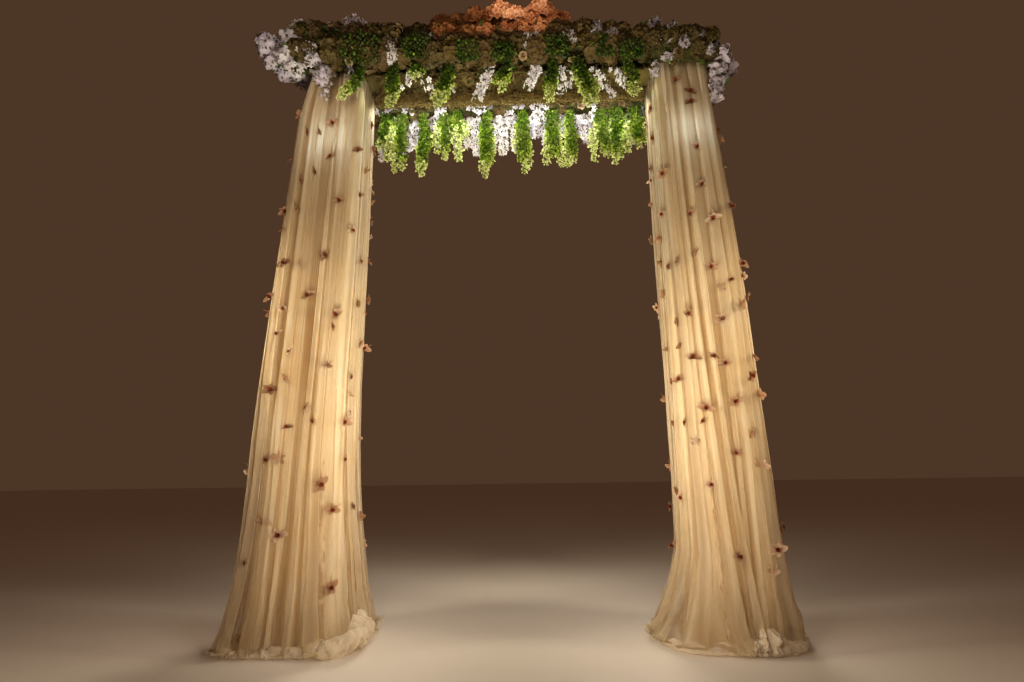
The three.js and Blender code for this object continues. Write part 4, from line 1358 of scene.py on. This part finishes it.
def bud_stem(row, tail, top, tip, luck):
    """Buds and bracts in whorls down a line from top to tip, which sways by a sine. They are largest
    past half way down, by 0.62 + 0.38 * sin(pi * t^1.4)."""
    whorls = max(3, int((top - tip)[2] / WHORL_STEP))
    t = np.repeat(np.linspace(0.03, 1, whorls), BUDS_IN_A_WHORL)
    count = len(t)
    twist = 0.31 * np.repeat(np.arange(whorls), BUDS_IN_A_WHORL)
    angle = 2 * math.pi * (np.arange(count) / BUDS_IN_A_WHORL + twist) + luck.normal(0, 0.25, count)
    out = np.stack([np.cos(angle), np.sin(angle), 0 * angle], axis=1)
    line = top + (tip - top) * t[:, None] + 0.010 * np.sin(6 * t + 20 * top[0])[:, None] * [1, 0.4, 0]
    grown = BUD_SIZE * (0.62 + 0.38 * np.sin(math.pi * t ** 1.4))
    reach = grown * luck.uniform(0.4, 2.0, count)
    places = line + out * reach[:, None] + luck.normal(0, 0.003, line.shape)
    tones = (tail_light_and_shade(row, tail, places) + luck.normal(0, 0.10, count)).clip(0, 1)
    sizes = grown * luck.uniform(0.65, 1.25, count)
    aims = out + [0, 0, -0.8]
    turns = facing(aims + luck.normal(0, 0.35, aims.shape), luck.uniform(0, FULL_TURN, count))
    closed = luck.uniform(0, 1, count) < CLOSED_SHARE
    buds = copies(BUD, places[closed], turns[closed], 0.85 * sizes[closed], tones[closed])
    bracts = copies(BRACTS, places[~closed], turns[~closed], 1.5 * sizes[~closed], tones[~closed])
    pick = luck.choice(count, count // 3, replace=False)
    leaf_aims = out[pick] + luck.normal(0, 0.5, (len(pick), 3))
    leaf_turns = facing(leaf_aims, luck.uniform(0, FULL_TURN, len(pick)))
    leaf_sizes = luck.uniform(0.025, 0.045, len(pick))
    blades = copies(NARROW_LEAF, line[pick], leaf_turns, leaf_sizes, 0.5 * tones[pick])
    return [buds, bracts, blades]


def stem(top, tip):
    """A thin stem as a four-sided tube from top to tip."""
    t = np.linspace(0, 1, 5)[:, None, None]
    corner = np.linspace(0, 2 * math.pi, 5)
    ring = STEM_RADIUS * np.stack([np.cos(corner), np.sin(corner), 0 * corner], axis=1)
    points = (top + (tip - top) * t + ring[None]).reshape(-1, 3)
    uv = np.stack([np.tile(corner, 5), np.repeat(np.linspace(0, 1, 5), 5)], axis=1)
    zeros = np.zeros(len(points))
    return {"points": points, "faces": grid_faces(5, 5), "uv": uv, "tone": zeros, "part": zeros + 1}


for name, tails in TAILS.items():
    luck = np.random.default_rng(130 + len(tails))
    row = HANGING[name]
    batches = []
    for tail in tails:
        x, tip_x, length = tail
        for k in range(row.stems):
            aside, back = luck.normal(0, row.spread, 2) * [1, 0.35]
            full = length * (1 - 0.13 * k * luck.uniform(0.3, 1))
            top = np.array([x + 0.4 * aside, row.y + 0.4 * back - row.forward, ROW_TOP])
            tip = np.array([tip_x + aside, row.y + back, ROW_TOP - full])
            batches += bud_stem(row, tail, top, tip, luck) + [stem(top, tip)]
    flower_piece(f"{name}_tails", batches, green_bud_material, [f"{name}_green_tails"])

# %% Strings of small orchids
FRONT_STRINGS = [
    # x and height at the top, x and height at the tip, tone
    (-1.29, 3.76, -1.27, 3.48, 0.1), (-1.10, 3.80, -1.12, 3.66, 0.2), (-0.70, 3.82, -0.63, 3.66, 0.6),
    (-0.67, 3.69, -0.74, 3.53, 0.9), (-0.58, 3.60, -0.52, 3.47, 0.8), (-0.41, 3.54, -0.39, 3.49, 0.8),
    (-0.11, 3.70, -0.20, 3.46, 0.9), (-0.13, 3.62, -0.22, 3.42, 0.7), (0.20, 3.69, 0.16, 3.53, 0.8),
    (0.23, 3.67, 0.12, 3.50, 0.9), (0.37, 3.68, 0.37, 3.46, 0.7), (0.42, 3.66, 0.43, 3.48, 0.4),
    (0.59, 3.66, 0.66, 3.55, 0.7), (0.66, 3.54, 0.71, 3.42, 0.3), (0.73, 3.64, 0.84, 3.49, 0.5),
    (1.02, 3.69, 1.03, 3.55, 0.2),
]
FRONT_STRING_Y = -0.262
FRONT_BLOOMS_A_METRE = 105
PALE_WIDTH, LILAC_WIDTH = 0.042, 0.034
CURTAIN_Y = 0.316
CURTAIN_HALF = 1.03
CURTAIN_STRINGS = 52
CURTAIN_BLOOMS_A_METRE = 170
# where the curtain is thick, as (low x, high x), and the lengths and tones of its strings there
THICK_PARTS = [(-1.05, -0.86), (-0.42, -0.10), (-0.10, 0.13), (0.84, 0.98)]
THICK_LENGTHS, THICK_TONES = (0.24, 0.34), (0.75, 1.0)
THIN_LENGTHS, THIN_TONES = (0.12, 0.27), (0.2, 0.8)
FRINGE_Y = 0.290
FRINGE_STRINGS = 40
FRINGE_LENGTHS, FRINGE_TONES = (0.03, 0.08), (0.5, 1.0)
# single orchids along the edge behind the fringe: their number, size, and y from and to
EDGE_ORCHIDS, EDGE_ORCHID_SIZE = 300, 0.014
EDGE_FROM, EDGE_TO = 0.275, 0.330


def orchid_string(top, tip, tone, luck, blooms_a_metre=CURTAIN_BLOOMS_A_METRE, size=0.022, width=0.022):
    """Small orchids strewn round a stem from top to tip."""
    count = max(5, int(blooms_a_metre * np.linalg.norm(top - tip)))
    t = np.linspace(0, 1, count)[:, None]
    angle = luck.uniform(0, 2 * math.pi, count)
    out = np.stack([np.cos(angle), np.sin(angle), luck.uniform(-0.6, 0.2, count)], axis=1)
    places = top + (tip - top) * t + out * [width, 0.6 * width, 0.01] * luck.uniform(0.4, 1, (count, 1))
    return strewn(SMALL_ORCHID, places, out + [0, -0.3, 0], size, luck, np.full(count, tone), 0.3, 0.25)


luck = np.random.default_rng(150)
batches = []
for top_x, top_z, tip_x, tip_z, tone in FRONT_STRINGS:
    top, tip = np.array([top_x, FRONT_STRING_Y, top_z]), np.array([tip_x, FRONT_STRING_Y, tip_z])
    wire = np.array([top_x, FRONT_STRING_Y, max(ROW_TOP, top_z)])
    width = PALE_WIDTH if tone < 0.15 else LILAC_WIDTH
    size = luck.uniform(0.016, 0.023)
    batches.append(orchid_string(top, tip, 0.55 * tone, luck, FRONT_BLOOMS_A_METRE, size, width))
    batches.append(stem(wire, tip))
flower_piece("front_sprays", batches, white_orchid_material, ["front_orchid_sprays"])

luck = np.random.default_rng(154)
batches = []
curtain_x = np.linspace(-CURTAIN_HALF, CURTAIN_HALF, CURTAIN_STRINGS)
for x in curtain_x + luck.normal(0, 0.012, CURTAIN_STRINGS):
    thick = any(low < x < high for low, high in THICK_PARTS)
    length = luck.uniform(*THICK_LENGTHS) if thick else luck.uniform(*THIN_LENGTHS)
    top = np.array([x, CURTAIN_Y + luck.normal(0, 0.008), ROW_TOP])
    tip = top + [luck.normal(0, 0.02), 0, -length]
    tone = luck.uniform(*THICK_TONES) if thick else luck.uniform(*THIN_TONES)
    batches += [orchid_string(top, tip, tone, luck), stem(top, tip)]
fringe_x = np.linspace(-CURTAIN_HALF, CURTAIN_HALF, FRINGE_STRINGS)
for x in fringe_x + luck.normal(0, 0.01, FRINGE_STRINGS):
    top = np.array([x, FRINGE_Y + luck.normal(0, 0.012), ROW_TOP])
    tip = top + [0, 0, -luck.uniform(*FRINGE_LENGTHS)]
    batches.append(orchid_string(top, tip, luck.uniform(*FRINGE_TONES), luck))
edge_low = [-CURTAIN_HALF, EDGE_FROM, ROW_TOP - 0.020]
edge_high = [CURTAIN_HALF, EDGE_TO, ROW_TOP]
spots = luck.uniform(edge_low, edge_high, (EDGE_ORCHIDS, 3))
aims = np.tile([0.0, -0.6, -1.0], (EDGE_ORCHIDS, 1))
batches.append(strewn(SMALL_ORCHID, spots, aims, EDGE_ORCHID_SIZE, luck))
flower_piece("rear_sprays", batches, white_orchid_material, ["rear_orchid_sprays"])

# %% [markdown]
# A band of brown moss hides the rear beam from below. It is a lumpy strip, and its fuzz is thousands of
# short curved blades that stand out of it, because a bump map alone would leave its edge smooth.

# %% The moss band
MOSS_LOW, MOSS_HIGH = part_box("rear_moss_band")
MOSS_MIDDLE_Y = (MOSS_HIGH.y + MOSS_LOW.y) / 2
MOSS_INSET = 0.012
MOSS_BLADES = 13500
BLADE_SIZES = (0.012, 0.029)
BLADE = petal(1.0, 0.30, rows=2, columns=1, tip=0.97, curl=0.35, cup=0.0)


def moss_core(stations=160, around=24):
    """Half an ellipse under the beam, carried along x and dented by noise."""
    x = np.linspace(MOSS_LOW.x, MOSS_HIGH.x, stations)[:, None]
    angle = np.linspace(0, math.pi, around)[None, :]
    half = (MOSS_HIGH.y - MOSS_LOW.y) / 2 - MOSS_INSET
    deep = MOSS_HIGH.z - MOSS_LOW.z - MOSS_INSET
    lumps = 1 + 0.14 * wander(61, 18 * x, 3 * angle)
    y = MOSS_MIDDLE_Y - half * np.cos(angle) * lumps
    z = MOSS_HIGH.z - deep * np.sin(angle) * lumps
    return np.stack([x + 0 * angle, y, z], axis=-1)


grid = moss_core()
grid_piece("rear_moss", grid, grid[..., [0, 1]], moss_material, stands_for=["rear_moss_band"])
luck = np.random.default_rng(170)
core_points = grid.reshape(-1, 3)
roots = core_points[luck.integers(0, len(core_points), MOSS_BLADES)]
roots = roots + luck.normal(0, 0.006, (MOSS_BLADES, 3))
outward = (roots - [0, MOSS_MIDDLE_Y, MOSS_HIGH.z]) * [0, 1, 1] + luck.normal(0, 0.045, roots.shape)
blade_turns = facing(np.cross(outward, luck.normal(0, 1, outward.shape)), np.zeros(MOSS_BLADES))
blade_sizes = luck.uniform(*BLADE_SIZES, MOSS_BLADES)
moss_blade_material = petal_material(
    "moss_blade", (0.12, 0.08, 0.02), [(0.065, 0.044, 0.011), (0.13, 0.092, 0.026), (0.40, 0.31, 0.13)],
    (0.1, 0.08, 0.04), rough=0.9, through=0.15,
)
blades = copies(BLADE, roots, blade_turns, blade_sizes, luck.uniform(0, 1, MOSS_BLADES) ** 1.5)
flower_piece("rear_moss_fuzz", [blades], moss_blade_material)

# %% [markdown]
# The cloth under the header is a narrow strip, pulled tight between the beams and tacked to the rungs,
# so it puckers a little across its width. It is a thicker, khaki cloth that lets little light through.

# %% The soffit cloth
SOFFIT_LOW, SOFFIT_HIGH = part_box("soffit_lining")
PUCKER, SAG, SAG_SPACING = 0.004, 0.010, 0.86


def soffit(stations=200, across_count=14):
    """A flat strip with shallow puckers that are deepest along its two edges."""
    x = np.linspace(SOFFIT_LOW.x, SOFFIT_HIGH.x, stations)[:, None]
    w = np.linspace(-1, 1, across_count)[None, :]
    y = (SOFFIT_HIGH.y - 0.001) * w
    pucker = PUCKER * np.sin(52 * x + 3 * wander(81, 5 * x)) * (0.3 + w ** 2)
    belly = SAG * (1 - w ** 2) * (0.6 + 0.4 * np.cos(2 * math.pi * x / SAG_SPACING))
    z = SOFFIT_LOW.z - belly + pucker - 0.002
    return np.stack([x + 0 * w, y + 0 * x, z], axis=-1)


khaki_material = cloth_material(
    "khaki_cloth", (0.16, 0.125, 0.035, 1), (0.07, 0.05, 0.014, 1), cover=1.0, through=0.12,
    patchy=(0.27, 0.21, 0.07, 1),
)
grid = soffit()
# painted shadows: soft patches of the ridge mark darken the cloth, and painted shade darkens it towards its
# left end
soffit_shadow_mottle = 0.62 + 0.38 * wander(83, 16 * grid[..., 0], 12 * grid[..., 1])
soffit_marks = {"ridge": (soffit_shadow_mottle - 0.5 * ease(-0.4, -0.8, grid[..., 0])).ravel()}
soffit_piece = grid_piece(
    "soffit_cloth", grid, grid[..., :2], khaki_material, soffit_marks, ["soffit_lining"],
    flip=True,
)

# %% [markdown]
# Single blossoms are pinned all over the voile. Those that the photograph shows are placed by the
# pixel that each covers: the sight line through it is followed to the nearest point of the cloth. The
# sides that it doesn't show get the same scatter. Each has a dark heart, pale petals and a bit of stem.

# %% Pinned blossoms
PINNED_PIXELS = {
    "left": [
        (357, 109), (334, 124), (316, 134), (300, 115), (370, 125), (332, 160), (357, 152), (372, 152),
        (291, 160), (313, 170), (372, 192), (340, 200), (360, 197), (304, 219), (285, 213), (283, 231),
        (352, 229), (372, 220), (325, 258), (285, 265), (360, 260), (369, 264), (311, 294), (272, 297),
        (283, 312), (357, 305), (364, 312), (338, 317), (278, 334), (290, 354), (353, 350), (363, 348),
        (327, 366), (347, 378), (269, 390), (347, 414), (316, 423), (287, 431), (268, 461), (319, 486),
        (333, 511), (250, 526), (279, 534), (331, 585),
    ],
    "right": [
        (676, 79), (690, 89), (690, 107), (653, 109), (655, 138), (718, 129), (695, 149), (663, 172),
        (717, 168), (652, 182), (699, 184), (663, 214), (691, 215), (713, 220), (735, 206), (697, 253),
        (671, 268), (711, 265), (731, 279), (742, 266), (749, 296), (686, 313), (721, 319), (742, 333),
        (657, 309), (693, 358), (725, 361), (680, 382), (750, 377), (736, 403), (706, 407), (687, 424),
        (706, 424), (759, 436), (734, 454), (710, 485), (751, 488), (683, 499), (738, 555), (777, 551),
        (670, 546),
    ],
}
HIDDEN_PINS = 70
HIDDEN_PIN_HEIGHTS = (0.35, 3.55)
TRIES = 12
PIN_SIZE, PIN_STAND_OFF = 0.050, 0.006
# what counts against a point of the cloth, in metres: each metre of its distance, and facing away
DISTANCE_COST, AWAY_COST = 0.02, 0.15

PINNED = joined(
    whorl(petal(1.0, 0.66, tip=0.84, curl=-0.10, cup=0.25), 2, tilt=0.25, start=0.15),
    whorl(petal(0.72, 0.60, tip=0.84, curl=-0.05, cup=0.25), 2, tilt=0.45, start=1.25),
    spun(petal(0.85, 0.50, tip=0.88, curl=-0.15, cup=0.2), 2.2, 0.20),
    whorl(petal(0.40, 0.38, rows=2, tip=0.8, cup=0.5, curl=0.4, part=1.0), 5, tilt=0.6, lift=0.03),
    spun(petal(1.35, 0.10, rows=3, columns=1, tip=0.9, curl=-0.12, part=0.5), 0.9, 0.12, -0.03),
    spun(petal(1.15, 0.08, rows=3, columns=1, tip=0.9, curl=0.18, part=0.5), 3.4, -0.05, -0.02),
    spun(petal(0.62, 0.22, rows=2, columns=1, tip=0.98, curl=0.2, part=0.6), 2.3, 0.15, -0.03),
)


def cloth_normals(grid, sign):
    """Outward normals at the points of a cloth grid, from its differences along rows and columns."""
    normals = np.cross(np.gradient(grid, axis=0), np.gradient(grid, axis=1))
    normals = normals / (np.linalg.norm(normals, axis=2, keepdims=True) + 1e-12)
    axis = np.array([sign * COLUMN_X, 0])
    away = (normals[..., :2] * (grid[..., :2] - axis)).sum(-1)
    return (normals * np.where(away < 0, -1, 1)[..., None]).reshape(-1, 3)


def pins_on(side, sign, luck):
    """Places and directions of the blossoms on one column. On the sides that the eye doesn't see,
    each stands as far from the others as the best of a few tries."""
    grids = [voile_grids[side, part] for part in VOILE_PARTS]
    points = np.concatenate([grid.reshape(-1, 3) for grid in grids])
    normals = np.concatenate([cloth_normals(grid, sign) for grid in grids])
    toward_eye = ((EYE - points) * normals).sum(1) > 0
    seen = []
    for pixel in PINNED_PIXELS[side]:
        line = sight_line(pixel)
        along = (points - EYE) @ line
        off = np.linalg.norm(points - EYE - along[:, None] * line, axis=1)
        seen.append(int((off + DISTANCE_COST * along + np.where(toward_eye, 0, AWAY_COST)).argmin()))
    low, high = HIDDEN_PIN_HEIGHTS
    hidden = np.where(~toward_eye & (points[:, 2] > low) & (points[:, 2] < high))[0]
    picked = [int(luck.choice(hidden))]
    while len(picked) < HIDDEN_PINS:
        tries = luck.choice(hidden, TRIES)
        gaps = np.linalg.norm(points[tries][:, None] - points[picked][None], axis=2).min(1)
        picked.append(int(tries[gaps.argmax()]))
    index = np.concatenate([seen, picked])
    return points[index], normals[index]


# painted shade: the petal shades are dusty brown-rose, darkened further to the brown that the blossoms show
# against the glowing cloth behind them
pinned_material = petal_material(
    "pinned_blossom", (0.30, 0.14, 0.08), [(0.22, 0.13, 0.075), (0.36, 0.23, 0.14), (0.66, 0.53, 0.40)],
    (0.26, 0.055, 0.022),
)
for side, sign in SIDES.items():
    luck = np.random.default_rng(190 + sign)
    places, normals = pins_on(side, sign, luck)
    aims = normals + luck.normal(0, 0.3, normals.shape)
    turns = facing(aims, luck.normal(0, 0.5, len(places)))
    sizes = PIN_SIZE * luck.uniform(0.75, 1.2, len(places))
    tones = luck.uniform(0, 1, len(places))
    pins = copies(PINNED, places + normals * PIN_STAND_OFF, turns, sizes, tones)
    flower_piece(f"{side}_pinned_blossoms", [pins], pinned_material)

# %% [markdown]
# The stage is a pale floor that runs to the horizon under an even sky, as in a studio with soft light
# from all round. Large area lamps shape the folds, long warm ones stand inside the columns, and small
# ones light what hangs under the header, the coral heads, the left end and the foot of each column.

# %% Floor, sky and lamps
FLOOR_HALF = 60.0
FLOOR_COLOUR = (0.76, 0.71, 0.65, 1)
SKY_COLOUR = (0.082, 0.046, 0.027, 1)

floor_mesh = bpy.data.meshes.new("floor")
corners = [(sx * FLOOR_HALF, sy * FLOOR_HALF, 0) for sx, sy in ((-1, -1), (1, -1), (1, 1), (-1, 1))]
floor_mesh.from_pydata(corners, [], [(0, 1, 2, 3)])
floor = bpy.data.objects.new("floor", floor_mesh)
bpy.context.scene.collection.objects.link(floor)
floor_material = start_material("pale_floor", Roughness=0.7, Base_Color=FLOOR_COLOUR)[0]
floor_mesh.materials.append(floor_material)
floor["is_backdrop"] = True

world = bpy.data.worlds.new("soft sky")
world.use_nodes = True
sky = world.node_tree.nodes["Background"].inputs
sky[0].default_value, sky[1].default_value = SKY_COLOUR, 1.0
bpy.context.scene.world = world


def lamp(name, place, aim, size, power, colour, tall=None, spread=180):
    """An area lamp at a place, turned towards the point that it lights, with its spread in degrees."""
    light = bpy.data.lights.new(name, "AREA")
    light.shape = "RECTANGLE"
    light.size, light.size_y, light.energy, light.color = size, tall or size, power, colour
    light.spread = math.radians(spread)
    holder = bpy.data.objects.new(name, light)
    direction = Vector(aim) - Vector(place)
    holder.rotation_euler = direction.to_track_quat("-Z", "Y").to_euler()
    holder.location = place
    bpy.context.scene.collection.objects.link(holder)
    holder.visible_camera = False


STRAW = (1.0, 0.86, 0.70)
WARM = (1.0, 0.87, 0.66)
CREAMY = (1.0, 0.87, 0.74)
MOONLIGHT = (0.60, 0.80, 1.0)
# power of the lamps inside the top of each column, on its inner face and on its foot
SIDE_POWERS = {"left": (0.95, 3.0, 2.9), "right": (0.85, 3.6, 2.7)}
# which way each strip inside a column shines, as (towards its outer side, back), and its power
STRIPS = [((1, 0), 0.9), ((-1, 0), 1.4), ((0, 1), 1.2), ((0, -1), 1.3)]
STRIP_HEIGHT, STRIP_LENGTH = 1.22, 1.9

lamp("key", (0.0, -5.4, 2.6), (0, 0, 2.9), 2.4, 16, STRAW, spread=80)
lamp("back", (1.5, 5.5, 5.5), (0, 0, 3.6), 3.0, 70, STRAW, spread=70)
lamp("header", (0, -1.7, 0.25), (0, 0.2, 3.7), 0.8, 54, (1.0, 0.93, 0.76), spread=110)
lamp("curtain", (0, 0.02, 3.62), (0, 0.32, 3.40), 2.0, 11.5, (0.95, 1.0, 1.0), tall=0.06)
lamp("coral", (0.10, -1.1, 4.45), (0.10, -0.17, 4.18), 0.3, 0.50, (1.0, 0.74, 0.52), spread=50)
lamp("tails", (0, -0.10, 3.62), (0, -0.30, 3.44), 2.0, 5.5, (0.90, 1.0, 0.75), tall=0.06)
lamp("left_end", (-1.30, -0.85, 3.25), (-1.45, -0.3, 3.8), 0.15, 1.8, (1.0, 0.93, 0.84))
for side, sign in SIDES.items():
    top_power, inner_power, low_power = SIDE_POWERS[side]
    column = sign * COLUMN_X
    lamp(f"fill_{side}", (sign * 5.0, -3.5, 3.8), (sign * 1.0, 0, 2.2), 3.0, 16, STRAW)
    for k, ((out, back), power) in enumerate(STRIPS, 1):
        aim = (column + sign * out, back, STRIP_HEIGHT)
        lamp(f"{side}_strip_{k}", (column, 0, STRIP_HEIGHT), aim, 0.10, power, WARM, tall=STRIP_LENGTH)
    lamp(f"{side}_top", (column, 0.0, 3.22), (sign * 1.2, -1.0, 3.1), 0.10, top_power, MOONLIGHT)
    lamp(f"{side}_inner", (0.1, -1.1, 1.3), (sign * 1.1, -0.1, 1.3), 0.6, inner_power, CREAMY, spread=90)
    lamp(f"{side}_edge", (sign * 3.3, -0.7, 2.4), (sign * 1.55, 0, 1.75), 0.6, 7.5, WARM, spread=55)
    lamp(f"{side}_low", (0.1, -1.7, 0.7), (sign * 1.0, -0.2, 0.50), 0.5, low_power, CREAMY, spread=60)

bpy.context.scene.view_settings.view_transform = "Standard"
bpy.context.scene.view_settings.look = "Medium High Contrast"

# %% Sizes of the frame and of the dressed canopy
sizes = {"cad": [list(c) for c in CAD_BOX], "visual": [list(c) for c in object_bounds()]}
print(sizes)
